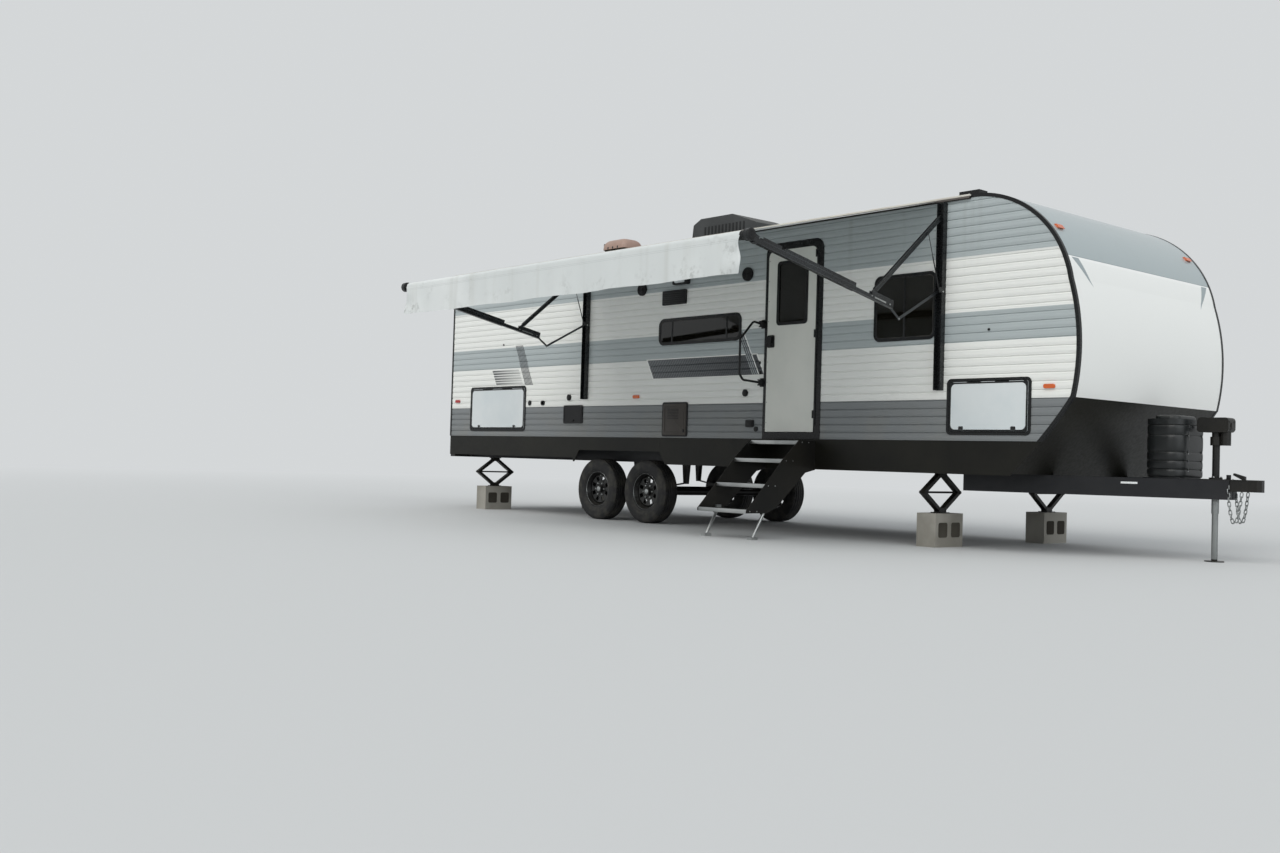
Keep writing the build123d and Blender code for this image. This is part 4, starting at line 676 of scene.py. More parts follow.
# name: the finish it starts from, the axis of its limit, and the limit in yard metres
LEAF_SKINS = {
    "entry door skin": ("door skin", STATION_AXIS, 6.2125),
    "front luggage skin": ("pale panel", HEIGHT_AXIS, 1.4195),
    "rear luggage skin": ("pale panel", HEIGHT_AXIS, 1.5085),
}
LENSES = {"amber lens": rgb("c4571a"), "red lens": rgb("9c1d1a")}
for name, values in LEAF_SKINS.items():
    finishes[name] = leaf_material(name, *values)
for name, tone in LENSES.items():
    finishes[name] = lens_material(name, tone, 0.06)
finishes["tinted glass"] = glass_material()
finishes["tyre rubber"] = rubber_material()
print(len(finishes), "finishes in all")

# %% [markdown]
# Now each construction piece gets its finish. The names say what a piece is, so the longest word
# in this table that its name starts with decides. Anything the table misses stops the script,
# which is better than a grey part in the picture.

# %% Finishes for the construction pieces
# finish: the words that names of its pieces start with
WORN_BY = {
    "vent plastic": "roof_vents", "roof membrane": "roof", "floor board": "floor", "white liner": "side_wall",
    "pale panel": "rear_wall", "black sheet": "nose_underside skirts", "entry door skin": "entry_door",
    "black extrusion": "edge_trims window_frames door_frames", "tinted glass": "window_panes entry_door_pane",
    "black moulding": "entry_door_trim grab_handle wall_fittings", "front luggage skin": "luggage_door",
    "rear luggage skin": "luggage_door_kerb_rear", "tub moulding": "gas_cover", "concrete": "stand_blocks",
    "chassis paint": "chassis cross_members tongue_beams hitch_plates",
    "black steel": "coupler tongue_jack stands axles leaf_springs step_sides bumper",
    "tyre rubber": "tyre", "rim steel": "rim", "step metal": "step_treads", "bright zinc": "step_legs tongue",
    "amber lens": "lamps_amber", "red lens": "lamps_red", "roof shroud": "air_conditioner",
    "link metal": "awning_lower_links awning_upper_links", "arm metal": "awning",
}
DRESSED = ("siding", "front_cap")


def finish_of(node):
    """The finish whose word covers the most of a piece's name."""
    starts = [(start, finish) for finish, words in WORN_BY.items() for start in words.split()]
    return max((len(start), finish) for start, finish in starts if node.startswith(start))[1]


for node in frame["nodes"]:
    if node not in DRESSED:
        dress(node, finishes[finish_of(node)])
print("dressed", len(frame["nodes"]), "nodes")

# %% [markdown]
# Tyres. A tyre is a turned profile with a pattern pressed into it, so the mesh is a grid: round
# the wheel one way, and across the section the other. The tread depth is taken off where the
# pattern says there is a groove, and the sidewall gets raised rings and a scalloped shoulder. A
# displacement modifier could press the pattern too, but it needs a far finer grid for the same
# crisp edges. All four wheels share the one mesh.

# %% Tyres
HUB_STATIONS = {"rear": 2.896, "front": 3.717}
HUB_HEIGHT = 0.344
WHEEL_ACROSS = 1.017
TYRE_RADIUS = 0.344
BEAD_RADIUS = 0.197
TREAD_STEPS = 240
TREAD_LUGS = 60
# (radius, half width) from the bead up the sidewall to the crown
TYRE_SECTION = [
    (0.1965, 0.076), (0.199, 0.0835), (0.203, 0.086), (0.214, 0.0885), (0.222, 0.0955), (0.226, 0.0965),
    (0.230, 0.0962), (0.246, 0.1004), (0.252, 0.1019), (0.258, 0.1012), (0.278, 0.1022), (0.300, 0.1008),
    (0.306, 0.1012), (0.312, 0.0985), (0.324, 0.0945), (0.333, 0.0885), (0.339, 0.0820),
]
# across the tread: half width, and whether the strip is a groove
TREAD_STRIPS = [
    (0.0780, 0), (0.0560, 0), (0.0553, 1), (0.0487, 1), (0.0480, 0), (0.0220, 0), (0.0213, 1), (0.0147, 1),
    (0.0140, 0),
]
TREAD_DEPTH = 0.0075
STUD_CIRCLE = 0.070
# turned profiles: radius, and distance along the axle
WHEEL_NUT = [(0, 0.021), (0.006, 0.021), (0.010, 0.017), (0.0115, 0.006), (0.0125, 0.0), (0, -0.002)]
HUB_CAP = [(0, 0.050), (0.018, 0.049), (0.027, 0.045), (0.031, 0.038), (0.032, 0.012), (0.040, 0.008),
           (0.041, 0.0)]
# A ring on the rim's lip, in bright zinc on the dark rim: a real lip with a painted highlight.
RIM_LIP_HIGHLIGHT = [(0.1925, 0.0), (0.1945, 0.003), (0.196, 0.002), (0.1955, -0.004), (0.192, -0.003), (0.1925, 0.0)]


def tread_cut(turn_share, across, groove):
    """How far the tread's surface lies under the crown."""
    if groove:
        return TREAD_DEPTH
    lean, deep, wide = (0.35, 0.8, 0.22) if abs(across) > 0.05 else (-0.5, 0.5, 0.12)
    step = (turn_share * TREAD_LUGS + across * 18 * lean) % 1
    return TREAD_DEPTH * deep if step < wide else 0.0


def tyre_mesh():
    shape = bmesh.new()
    half = [(r, w, None) for r, w in TYRE_SECTION] + [(TYRE_RADIUS, w, g) for w, g in TREAD_STRIPS]
    section = half + [(r, -w, g) for r, w, g in reversed(half)]
    section += [(BEAD_RADIUS, -0.06, None), (BEAD_RADIUS, 0.06, None)]
    loops = []
    for k in range(TREAD_STEPS):
        share = k / TREAD_STEPS
        turn = 2 * math.pi * share
        loop = []
        for radius, across, groove in section:
            cut = 0.0
            if groove is not None:
                cut = 0.0035 * (across / 0.09) ** 2 + tread_cut(share, across, groove)
            elif 0.322 < radius < 0.336:
                cut = 0.002 * (0.5 + 0.5 * math.cos(turn * TREAD_LUGS))
            r = radius - cut
            loop.append((r * math.sin(turn), across, r * math.cos(turn)))
        loops.append(loop)
    add_skin(shape, loops, closed=True)
    return shape


def hub_hardware(side):
    """Wheel nuts on their studs, a centre cap, the valve, and a bright ring on the rim's lip that paints its
    highlight.
    """
    shape = bmesh.new()
    for k in range(6):
        turn = math.radians(60 * k + 30)
        spot = (STUD_CIRCLE * math.sin(turn), side * 0.028, STUD_CIRCLE * math.cos(turn))
        add_lathe(shape, WHEEL_NUT, spot, (0, side, 0), 6)
    add_lathe(shape, HUB_CAP, (0, side * 0.021, 0), (0, side, 0), 32)
    add_lathe(shape, RIM_LIP_HIGHLIGHT, (0, side * 0.0775, 0), (0, side, 0), 96)
    valve = Vector((0.155 * math.sin(0.3), side * 0.045, 0.155 * math.cos(0.3)))
    add_tube(shape, [valve, valve + Vector((0, side * 0.028, 0.006))], 0.0045, 8)
    return shape


def add_wheels():
    tyre_shape = tyre_mesh()
    shared = bpy.data.meshes.new("tyre")
    bmesh.ops.recalc_face_normals(tyre_shape, faces=tyre_shape.faces)
    tyre_shape.to_mesh(shared)
    tyre_shape.free()
    shared.materials.append(finishes["tyre rubber"])
    shared.polygons.foreach_set("use_smooth", [True] * len(shared.polygons))
    shared.set_sharp_from_angle(angle=SMOOTH_ANGLE)
    for end, station in HUB_STATIONS.items():
        for side, side_name in ((KERB, "kerb"), (ROAD, "road")):
            hub = at(station, side * WHEEL_ACROSS, HUB_HEIGHT)
            tyre = bpy.data.objects.new(f"tyre_tread_{end}_{side_name}", shared)
            tyre.matrix_world = Matrix.Translation(hub)
            bpy.context.collection.objects.link(tyre)
            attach(tyre, f"wheel_{end}_{side_name}")
            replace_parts(tyre, f"tyre_{end}_{side_name}")
            shape = hub_hardware(side)
            bmesh.ops.translate(shape, verts=shape.verts, vec=hub)
            finish_mesh(shape, f"hub_hardware_{end}_{side_name}", "bright zinc", f"wheel_{end}_{side_name}")
    return len(shared.polygons)


print("faces on a tyre:", add_wheels())

# %% [markdown]
# The awning's cloth. The canopy runs from a bead in the roof rail down to the roller, tight, with
# a slight sag and faint ripples that die out where it is held. It is one thin closed sheet made
# of two layers of points, because a closed sheet has a true thickness from both sides. A cloth
# simulation is the usual way to a sagging cloth, but vinyl stretched this tight hardly moves, and
# a formula keeps both held edges exactly where the rail and roller are.

# %% Awning cloth
ARM_STATIONS = (2.790, 7.630)
CLOTH_FROM, CLOTH_TO, CLOTH_MIDDLE = 2.850, 7.570, 5.21
RAIL_POINT = (0.0235, 2.981)        # out from the siding, and height
ROLLER_POINT = (2.375, 2.370)
ROLL_RADIUS = 0.035
CLOTH_THICK = 0.0009
VALANCE_DROP = 0.285
SAG = 0.012
ROLL_TURN = math.atan2(ROLLER_POINT[1] - RAIL_POINT[1], ROLLER_POINT[0] - RAIL_POINT[0])


def cloth_material():
    """White grey vinyl with stitched lines along its edges and mildew towards the ends."""
    mat = new_material("awning vinyl", rgb("d9dad6"), 0.55, Sheen_Weight=0.15)
    station, height, _ = yard_axes(mat)
    blot = noise(mat, 5.5, 6)
    fine = noise(mat, 26, 5)
    near_end = ramp(mat, math_node(mat, "ABSOLUTE", minus(mat, station, CLOTH_MIDDLE)), 1.3, 2.3)
    mould = times(mat, ramp(mat, blot, 0.50, 0.68), ramp(mat, fine, 0.42, 0.62))
    mould = times(mat, mould, ramp(mat, near_end, 0.0, 1.0, 0.22, 0.70))
    mould = times(mat, mould, ramp(mat, height, ROLLER_POINT[1] - 0.27, ROLLER_POINT[1] - 0.05, 1.0, 0.35))
    tone = mix(mat, ramp(mat, noise(mat, 0.9, 3), 0.35, 0.65), rgb("dbdedd"), rgb("cdd1d0"))
    streak = noise(mat, 7, 3, (1.0, 0.25, 0.06))
    tone = mix(mat, ramp(mat, streak, 0.5, 0.75, 0.0, 0.25), tone, rgb("a5a59a"))
    tone = mix(mat, mould, tone, rgb("7b7d78"))
    for level in (0.030, 0.042):
        seam = between(mat, height, ROLLER_POINT[1] - level - 0.0015, ROLLER_POINT[1] - level + 0.0015, 0.001)
        tone = mix(mat, times(mat, seam, 0.35), tone, rgb("8f9594"))
    paint(mat, Base_Color=tone)
    weave = add(mat, "TexChecker", Vector=place(mat), Scale=700.0).outputs["Fac"]
    bump(mat, weave, 0.15, 0.0003)
    bump(mat, noise(mat, 3.5, 3, (0.6, 1, 1)), 0.25, 0.006)
    return mat


def two_layers(rows, name, body):
    """A closed thin sheet from rows of points, thickened along the local normal."""
    shape = bmesh.new()
    count, wide = len(rows), len(rows[0])
    layers = []
    for way in (0.5, -0.5):
        layer = []
        for i, row in enumerate(rows):
            line = []
            for j, point in enumerate(row):
                down = rows[min(i + 1, count - 1)][j] - rows[max(i - 1, 0)][j]
                along = row[min(j + 1, wide - 1)] - row[max(j - 1, 0)]
                normal = along.cross(down).normalized()
                line.append(shape.verts.new(point + normal * CLOTH_THICK * way))
            layer.append(line)
        layers.append(layer)
    for layer in layers:
        for one, two in zip(layer, layer[1:]):
            for j in range(wide - 1):
                shape.faces.new((one[j], one[j + 1], two[j + 1], two[j]))
    rim = [(0, j) for j in range(wide)] + [(i, wide - 1) for i in range(1, count)]
    rim += [(count - 1, j) for j in range(wide - 2, -1, -1)] + [(i, 0) for i in range(count - 2, 0, -1)]
    for (i, j), (k, m) in zip(rim, rim[1:] + rim[:1]):
        shape.faces.new((layers[0][i][j], layers[1][i][j], layers[1][k][m], layers[0][k][m]))
    made = finish_mesh(shape, name, "awning vinyl", body)
    return made


def canopy_rows():
    """From the bead in the rail to the top of the roller."""
    top = Vector(ROLLER_POINT) + Vector((-math.sin(ROLL_TURN), math.cos(ROLL_TURN))) * ROLL_RADIUS
    start = Vector(RAIL_POINT)
    rows = []
    for i in range(41):
        share = i / 40
        row = []
        for j in range(97):
            along = j / 96
            dip = SAG * 4 * share * (1 - share) * (0.75 + 0.25 * math.cos(math.pi * (2 * along - 1)))
            ripple = 0.0016 * math.sin(along * 61) * math.sin(math.pi * share) ** 2
            spot = start.lerp(top, share)
            station = CLOTH_FROM + (CLOTH_TO - CLOTH_FROM) * along
            station += 0.010 * math.sin(math.pi * share) * (0.5 - along)
            row.append(at(station, -(HALF + spot.x), spot.y - dip + ripple))
        rows.append(row)
    return rows


def valance_rows():
    """Over the roller's top and front, then straight down with loose folds."""
    path = []
    out, height = ROLLER_POINT
    radius = ROLL_RADIUS + 0.0012
    for k in range(9):
        turn = (math.pi / 2 + ROLL_TURN) * (1 - k / 8)
        path.append((out + radius * math.cos(turn), height + radius * math.sin(turn), 0.0))
    for k in range(1, 25):
        path.append((out + radius, height - VALANCE_DROP * k / 24, k / 24))
    rows = []
    for out, height, low in path:
        row = []
        for j in range(241):
            along = j / 240
            end = max(0.0, 1 - min(along, 1 - along) / 0.045)
            wave = 0.006 * math.sin(along * 47 + 0.9 * math.sin(along * 13))
            wave += 0.003 * math.sin(along * 119 + 2)
            wave += 0.016 * end * math.sin(low * 7.5 + (2.0 if along > 0.5 else 0.4))
            hem = 0.004 * math.sin(along * 29) * low
            station = CLOTH_FROM + (CLOTH_TO - CLOTH_FROM) * along
            station -= 0.020 * end * math.sin(low * 6.5) * (1 if along > 0.5 else -1)
            row.append(at(station, -(HALF + out + wave * low ** 0.7), height + hem))
        rows.append(row)
    return rows


finishes["awning vinyl"] = cloth_material()
canopy = two_layers(canopy_rows(), "canopy_cloth", "root")
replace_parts(canopy, "awning_canopy")
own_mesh(canopy)

valance = two_layers(valance_rows(), "valance_cloth", "awning_outer_arms")
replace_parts(valance, "awning_valance")
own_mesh(valance)

# %% [markdown]
# Hardware that stands on the wall is drawn the same way each time: a spot on the siding, a width
# and a height, and how far it stands out. The helper below gives a rounded plate at such a spot.
# With it the louvres, seams, screws and latches become short tables, which are easy to check
# against the picture. Booleans on the construction pieces would be heavier and change their shape.

# %% Wall hardware helpers
def wall_plate(shape, side, station, height, size, out, thick, radius=0.004, edge=0.001, steps=4):
    """A rounded plate on one side's siding, standing from out to out + thick."""
    radius = min(radius, min(size) / 2 - 1e-4)
    centre = on_side(side, station, height, out)
    add_plate(shape, rounded_outline(*size, radius, steps), centre, *side_axes(side), thick, edge)


def wall_lathe(shape, side, station, height, out, profile, steps):
    """A turned form whose axis points out of one side."""
    add_lathe(shape, profile, on_side(side, station, height, out), (0, side, 0), steps)


def wall_screw(shape, side, station, height, out, radius=0.0042):
    """A low round screw head."""
    profile = [(0, 0.0016), (radius * 0.7, 0.0013), (radius, 0.0), (0, -0.0005)]
    wall_lathe(shape, side, station, height, out, profile, 8)


def wall_ring(shape, side, station, height, size, out, width, thick, radius, inner_radius=None):
    """A rounded frame with a ridge, made from an outer and an inner outline."""
    right, up = side_axes(side)
    centre = on_side(side, station, height, out)
    way = right.cross(up)
    wide, tall = size
    outer = rounded_outline(wide, tall, radius, 8)
    inner = rounded_outline(wide - 2 * width, tall - 2 * width, inner_radius or max(radius - width, 0.001), 8)
    ridge = [((a + c) / 2, (b + d) / 2) for (a, b), (c, d) in zip(outer, inner)]
    levels = ((outer, 0), (outer, thick * 0.6), (ridge, thick), (inner, thick * 0.6), (inner, 0))
    loops = [[centre + right * x + up * z + way * level for x, z in line] for line, level in levels]
    add_skin(shape, loops, ends=False)


print("wall helpers ready")

# %% [markdown]
# Windows. Each has a rubber gasket inside its frame. The front pair slide, so a bar stands in the
# middle, and the long high one has a bar near each end. Two panes could be set side by side
# instead, but a bar laid on one pane looks the same. Behind the other tinted panes hang pleated
# blinds, partly drawn, because an empty black pane looks like a hole.

# %% Windows
# side, from, to, low, high, corner, bars as shares of the width, blind drop as a share
WINDOWS = [
    (KERB, 6.900, 7.570, 1.800, 2.390, 0.070, (0.5,), 0.30),
    (KERB, 4.008, 5.237, 1.903, 2.187, 0.080, (0.17, 0.83), 0.0),
    (ROAD, 6.900, 7.570, 1.800, 2.390, 0.070, (0.5,), 0.45),
    (ROAD, 4.300, 5.700, 1.800, 2.390, 0.070, (0.33, 0.67), 0.35),
    (ROAD, 1.250, 1.860, 2.000, 2.390, 0.070, (), 0.5),
]
FRAME_WIDTH = 0.026
PANE_OUT = 0.002
PLEAT = 0.02                            # height of one pleat
BLIND_IN, BLIND_OUT = -0.034, -0.022    # where the pleats fold, out from the siding


def add_windows():
    gasket, bars, blinds = bmesh.new(), bmesh.new(), bmesh.new()
    for side, start, end, low, high, corner, shares, drawn in WINDOWS:
        middle, level = (start + end) / 2, (low + high) / 2
        clear = (end - start - 2 * FRAME_WIDTH, high - low - 2 * FRAME_WIDTH)
        wall_ring(gasket, side, middle, level, clear, PANE_OUT, 0.009, 0.0025, corner - FRAME_WIDTH)
        for share in shares:
            station = start + (end - start) * share
            wall_plate(bars, side, station, level, (0.022, clear[1]), PANE_OUT, 0.003, 0.002)
        if not drawn:
            continue
        left, right = start + FRAME_WIDTH, end - FRAME_WIDTH
        for k in range(int(clear[1] * drawn / PLEAT)):
            top = high - FRAME_WIDTH - PLEAT * k
            middle, foot = top - PLEAT / 2, top - PLEAT
            corners = [(left, top, BLIND_IN), (right, top, BLIND_IN), (right, middle, BLIND_OUT),
                       (left, middle, BLIND_OUT), (right, foot, BLIND_IN), (left, foot, BLIND_IN)]
            v = [blinds.verts.new(on_side(side, *corner)) for corner in corners]
            blinds.faces.new(v[:4])
            blinds.faces.new((v[3], v[2], v[4], v[5]))
    finish_mesh(gasket, "window_gaskets", "tyre rubber")
    finish_mesh(bars, "window_bars", "black extrusion")
    finish_mesh(blinds, "window_blinds", "white liner", smooth=False)


add_windows()
print("windows:", len(WINDOWS))

# %% [markdown]
# The doors. The entry door has a window with its own gasket, a shallow panel line, a row of screws
# and three hinge leaves on its front edge. Each luggage door has two thumb latches by its lower
# edge, a dark rim and a gasket in its opening. What rides on a moving door is built as its own
# object, because an object follows one body.

# %% Doors
DOOR_FROM, DOOR_TO, DOOR_LOW = 5.597, 6.217, 0.995
DOOR_OUT = 0.007
DOOR_PANE = (5.9125, 2.330)      # the middle of its window
SLAB_INSET = 0.029       # from a luggage opening in to its door
RIM_IN = 0.0584          # how much smaller than the opening its rim and its gasket are
GASKET_IN = 0.056
LUGGAGE = {
    "kerb_front": (KERB, 7.703, 8.515, 0.975, 1.449),
    "kerb_rear": (KERB, 0.458, 1.642, 0.990, 1.538),
    "road_front": (ROAD, 7.703, 8.515, 0.975, 1.449),
}


def add_entry_door():
    dark, skin = bmesh.new(), bmesh.new()
    middle = (DOOR_FROM + DOOR_TO) / 2
    wall_ring(dark, KERB, *DOOR_PANE, (0.350, 0.573), DOOR_OUT + 0.002, 0.007, 0.004, 0.03)
    for level in (1.16, 1.92, 2.68):
        wall_plate(dark, KERB, DOOR_TO - 0.012, level, (0.020, 0.075), DOOR_OUT, 0.0035, 0.003)
    wall_ring(skin, KERB, middle, (DOOR_LOW + 1.955) / 2, (0.47, 0.82), DOOR_OUT, 0.010, 0.0012, 0.03)
    for k in range(9):
        wall_screw(dark, KERB, DOOR_FROM + 0.012, DOOR_LOW + 0.09 + 0.196 * k, DOOR_OUT)
    finish_mesh(dark, "entry_door_hardware", "black moulding", "entry_door")
    finish_mesh(skin, "entry_door_panel_line", "door skin", "entry_door")


def add_luggage_doors():
    for name, (side, start, end, low, high) in LUGGAGE.items():
        latches, rim, gasket = bmesh.new(), bmesh.new(), bmesh.new()
        wide, tall = end - start, high - low
        middle = ((start + end) / 2, (low + high) / 2)
        for share in (1 / 6, 5 / 6):
            station = start + SLAB_INSET + (wide - 2 * SLAB_INSET) * share
            wall_plate(latches, side, station, low + 0.057, (0.047, 0.031), 0.0159, 0.0012, 0.008)
            wall_plate(latches, side, station, low + 0.060, (0.026, 0.014), 0.017, 0.003, 0.005)
        wall_ring(rim, side, *middle, (wide - RIM_IN, tall - RIM_IN), 0.0068, 0.016, 0.0022, 0.016, 0.042)
        wall_ring(gasket, side, *middle, (wide - GASKET_IN, tall - GASKET_IN), -0.002, 0.006, 0.004, 0.024)
        finish_mesh(rim, f"luggage_rim_{name}", "black extrusion", f"luggage_door_{name}")
        finish_mesh(latches, f"luggage_latches_{name}", "rim steel", f"luggage_door_{name}")
        finish_mesh(gasket, f"luggage_gasket_{name}", "tyre rubber")


add_entry_door()
add_luggage_doors()
print("door hardware on 4 doors")

# %% [markdown]
# What is screwed to the wall. The construction pieces are plain plates, so here they get their
# faces: louvres on the brown water heater door and the range vent, a ringed grille on the round
# speakers, a lid with a finger pull on the shower box, and lids on the round inlets. The small
# ovals and dots are keyholes and vents. Plates from one helper are quicker to place than sculpted
# faces, and they stay crisp at any distance.

# %% Wall fittings
# from, to, low, high
HEATER = (4.104, 4.491, 0.940, 1.300)
RANGE_VENT = (4.067, 4.428, 2.328, 2.480)
SHOWER_BOX = (2.398, 2.748, 1.080, 1.288)
SPEAKERS = ((5.311, 2.556), (3.723, 2.528))
INLETS = ((5.317, 1.376), (2.489, 1.378))
# station, height, width, height
KNOBS = [
    (5.502, 1.668, 0.020, 0.032), (5.513, 1.572, 0.020, 0.032), (1.145, 2.050, 0.022, 0.022),
    (8.105, 1.851, 0.022, 0.022), (1.724, 1.326, 0.060, 0.060), (1.984, 1.323, 0.075, 0.055),
    (5.472, 1.021, 0.050, 0.050), (1.984, 1.323, 0.050, 0.032),
]
AWNING_LIGHT = (4.357, 2.566, 0.15, 0.035)
SOCKET_LID = (5.390, 1.075)


def knob(shape, station, height, wide, tall, out=0.0):
    wall_plate(shape, KERB, station, height, (wide, tall), out, 0.009, min(wide, tall) / 2.2)


def box_sizes(start, end, low, high, rim):
    """The middle of a box on the wall, and its size inside a rim."""
    return ((start + end) / 2, (low + high) / 2), (end - start - 2 * rim, high - low - 2 * rim)


def add_fittings():
    brown, dark, pale = bmesh.new(), bmesh.new(), bmesh.new()
    spot, size = box_sizes(*HEATER, 0.015)
    wall_plate(brown, KERB, *spot, size, 0.010, 0.006, 0.018, 0.003)
    for k in range(7):
        level = HEATER[3] - 0.075 - 0.016 * k
        wall_plate(dark, KERB, spot[0] - 0.02, level, (0.17, 0.006), 0.016, 0.002, 0.002)
    wall_plate(dark, KERB, HEATER[1] - 0.045, HEATER[2] + 0.06, (0.022, 0.034), 0.016, 0.007, 0.006)
    wall_ring(brown, KERB, *spot, (0.30, 0.275), 0.016, 0.006, 0.003, 0.02)
    spot, size = box_sizes(*RANGE_VENT, 0.015)
    for k in range(6):
        level = RANGE_VENT[2] + 0.022 + 0.0215 * k
        wall_plate(dark, KERB, spot[0], level, (size[0], 0.013), 0.022, 0.005, 0.003)
    spot, size = box_sizes(*SHOWER_BOX, 0.018)
    wall_ring(dark, KERB, *spot, size, 0.012, 0.005, 0.003, 0.012)
    wall_plate(dark, KERB, spot[0], SHOWER_BOX[2] + 0.035, (0.05, 0.02), 0.012, 0.006, 0.006)
    wall_plate(dark, KERB, *SOCKET_LID, (0.07, 0.045), 0.018, 0.005, 0.006)
    for spot in SPEAKERS:
        for radius in (0.064, 0.048, 0.034, 0.020):
            ring = [(radius - 0.004, 0), (radius - 0.003, 0.003), (radius, 0.003), (radius + 0.001, 0)]
            wall_lathe(dark, KERB, *spot, 0.020, ring, 40)
        wall_lathe(dark, KERB, *spot, 0.020, [(0, 0.005), (0.012, 0.004), (0.014, 0)], 24)
    for station, height in INLETS:
        lid = [(0, 0.006), (0.022, 0.0055), (0.029, 0.003), (0.030, 0)]
        wall_lathe(dark, KERB, station, height, 0.014, lid, 32)
        wall_plate(dark, KERB, station, height + 0.032, (0.026, 0.010), 0.014, 0.006, 0.003)
    for spot in KNOBS:
        knob(dark, *spot)
    knob(pale, *AWNING_LIGHT, 0.045)
    finish_mesh(brown, "water_heater_door", "brown door")
    finish_mesh(dark, "wall_fitting_faces", "black moulding")
    finish_mesh(pale, "awning_light_lens", "pale panel")


add_fittings()
print("fittings faced:", 3 + len(SPEAKERS) + len(INLETS) + len(KNOBS))

# %% [markdown]
# Screws and rivets. Rows of small fasteners tell the eye how big a thing is. They run along the
# black corner trim, beside the windows, down the awning's channels and along the skirt. The
# trim's screws follow its own outline, walked at an even pitch. An array modifier could repeat
# one screw, but it would need a curve to follow the arcs of the nose.

# %% Fastener rows
TRIM_MIDDLE = 0.014       # middle of the corner trim, in from its outline
TRIM_PITCH = 0.15
ARC_STEPS = 24
TRIM_FOOT = 0.95          # the trim's screws start above this
CHANNEL_FOOT = 1.40       # the lowest screws of the awning's channels
SKIRT_LINE = 0.905        # height of the skirt's screws
SKIRT_PITCH = 0.285


def walk(points, pitch):
    """Points at an even pitch along a polyline."""
    points = [Vector(p) for p in points]
    out, left = [], pitch / 2
    for a, b in zip(points, points[1:]):
        length = (b - a).length
        while left < length:
            out.append(a.lerp(b, left / length))
            left += pitch
        left -= length
    return out


def arc_through(a, b, c):
    """Points on the circle arc from a through b to c."""
    ax, ay, bx, by, cx, cy = *a, *b, *c
    d = 2 * (ax * (by - cy) + bx * (cy - ay) + cx * (ay - by))
    aa, bb, cc = ax * ax + ay * ay, bx * bx + by * by, cx * cx + cy * cy
    ux = (aa * (by - cy) + bb * (cy - ay) + cc * (ay - by)) / d
    uy = (aa * (cx - bx) + bb * (ax - cx) + cc * (bx - ax)) / d
    radius = math.hypot(ax - ux, ay - uy)
    first, last = math.atan2(ay - uy, ax - ux), math.atan2(cy - uy, cx - ux)
    turns = [first + (last - first) * k / ARC_STEPS for k in range(ARC_STEPS + 1)]
    return [(ux + radius * math.cos(turn), uy + radius * math.sin(turn)) for turn in turns]


ROOF_LINE = [(0.0, ROOF_EDGE), (7.960, ROOF_EDGE)]
BROW_ARC = arc_through((7.960, ROOF_EDGE), (8.550, 2.757), (8.850, 2.220))
NOSE_ARC = arc_through((8.850, 2.220), (8.932, 1.700), (8.888, 1.279))
CHIN_ARC = arc_through((8.888, 1.279), (8.608, 0.925), (8.322, 0.645))


def inset_line(points, inward):
    """Move an open outline inward, to its right as it runs forward over the roof and down the nose."""
    moved = []
    for k, point in enumerate(points):
        before, after = points[max(k - 1, 0)], points[min(k + 1, len(points) - 1)]
        way = Vector((after[0] - before[0], after[1] - before[1])).normalized()
        moved.append((point[0] + way.y * inward, point[1] - way.x * inward))
    return moved


def add_fasteners():
    shape = bmesh.new()
    rear = [(TRIM_MIDDLE, 0.94), (TRIM_MIDDLE, ROOF_EDGE - TRIM_MIDDLE)]
    outline = inset_line(ROOF_LINE + BROW_ARC[1:] + NOSE_ARC[1:] + CHIN_ARC[1:12], TRIM_MIDDLE)
    for side in (KERB, ROAD):
        for spot in walk(rear, TRIM_PITCH) + walk(outline, TRIM_PITCH):
            if spot.y > TRIM_FOOT:
                wall_screw(shape, side, spot.x, spot.y, 0.003)
    for side, start, end, low, high, *_ in WINDOWS:
        for station in (start + 0.013, end - 0.013):
            for height in (low + 0.13, (low + high) / 2, high - 0.13):
                wall_screw(shape, side, station, height, 0.006, 0.0035)
    for station in ARM_STATIONS:
        for k in range(11):
            for away in (-0.018, 0.018):
                wall_screw(shape, KERB, station + away, CHANNEL_FOOT + TRIM_PITCH * k, 0.003, 0.005)
    for side in (KERB, ROAD):
        for k in range(30):
            station = 0.15 + SKIRT_PITCH * k
            over_wheels = 2.45 < station < 4.30
            by_steps = side == KERB and 5.5 < station < 6.35
            if not over_wheels and not by_steps:
                wall_screw(shape, side, station, SKIRT_LINE, -0.004, 0.0045)
    finish_mesh(shape, "fasteners", "black steel")


add_fasteners()
print("fastener rows set")

# %% [markdown]
# The awning's hardware. The roller ends in black drums with two rings, where its springs are
# wound up. The arms are nested extrusions, so they carry raised flanges and a bright slot, and thin
# lighter strips along their edges are painted highlights. A boolean could cut the channels, but thin
# bars laid beside the solid read the same and leave it whole. Everything stays within its own lane,
# so that the folded arms pass each other.

# %% Awning hardware
ELBOW = (0.938, 2.091)        # points of the arms' plane: out from the siding, and height
PIVOT = (0.054, 2.833)
KNEE = (0.558, 1.917)
WALL_PIN = (0.035, 2.195)
ARM_TILT = math.atan2(ROLLER_POINT[1] - ELBOW[1], ROLLER_POINT[0] - ELBOW[0]) + math.radians(0.5)
UPPER_TILT = math.atan2(PIVOT[1] - ELBOW[1], PIVOT[0] - ELBOW[0])
UPPER_END = math.hypot(PIVOT[0] - ELBOW[0], PIVOT[1] - ELBOW[1]) - 0.030
DRUM_RADIUS = 0.0465
DRUM_HALF = 0.026
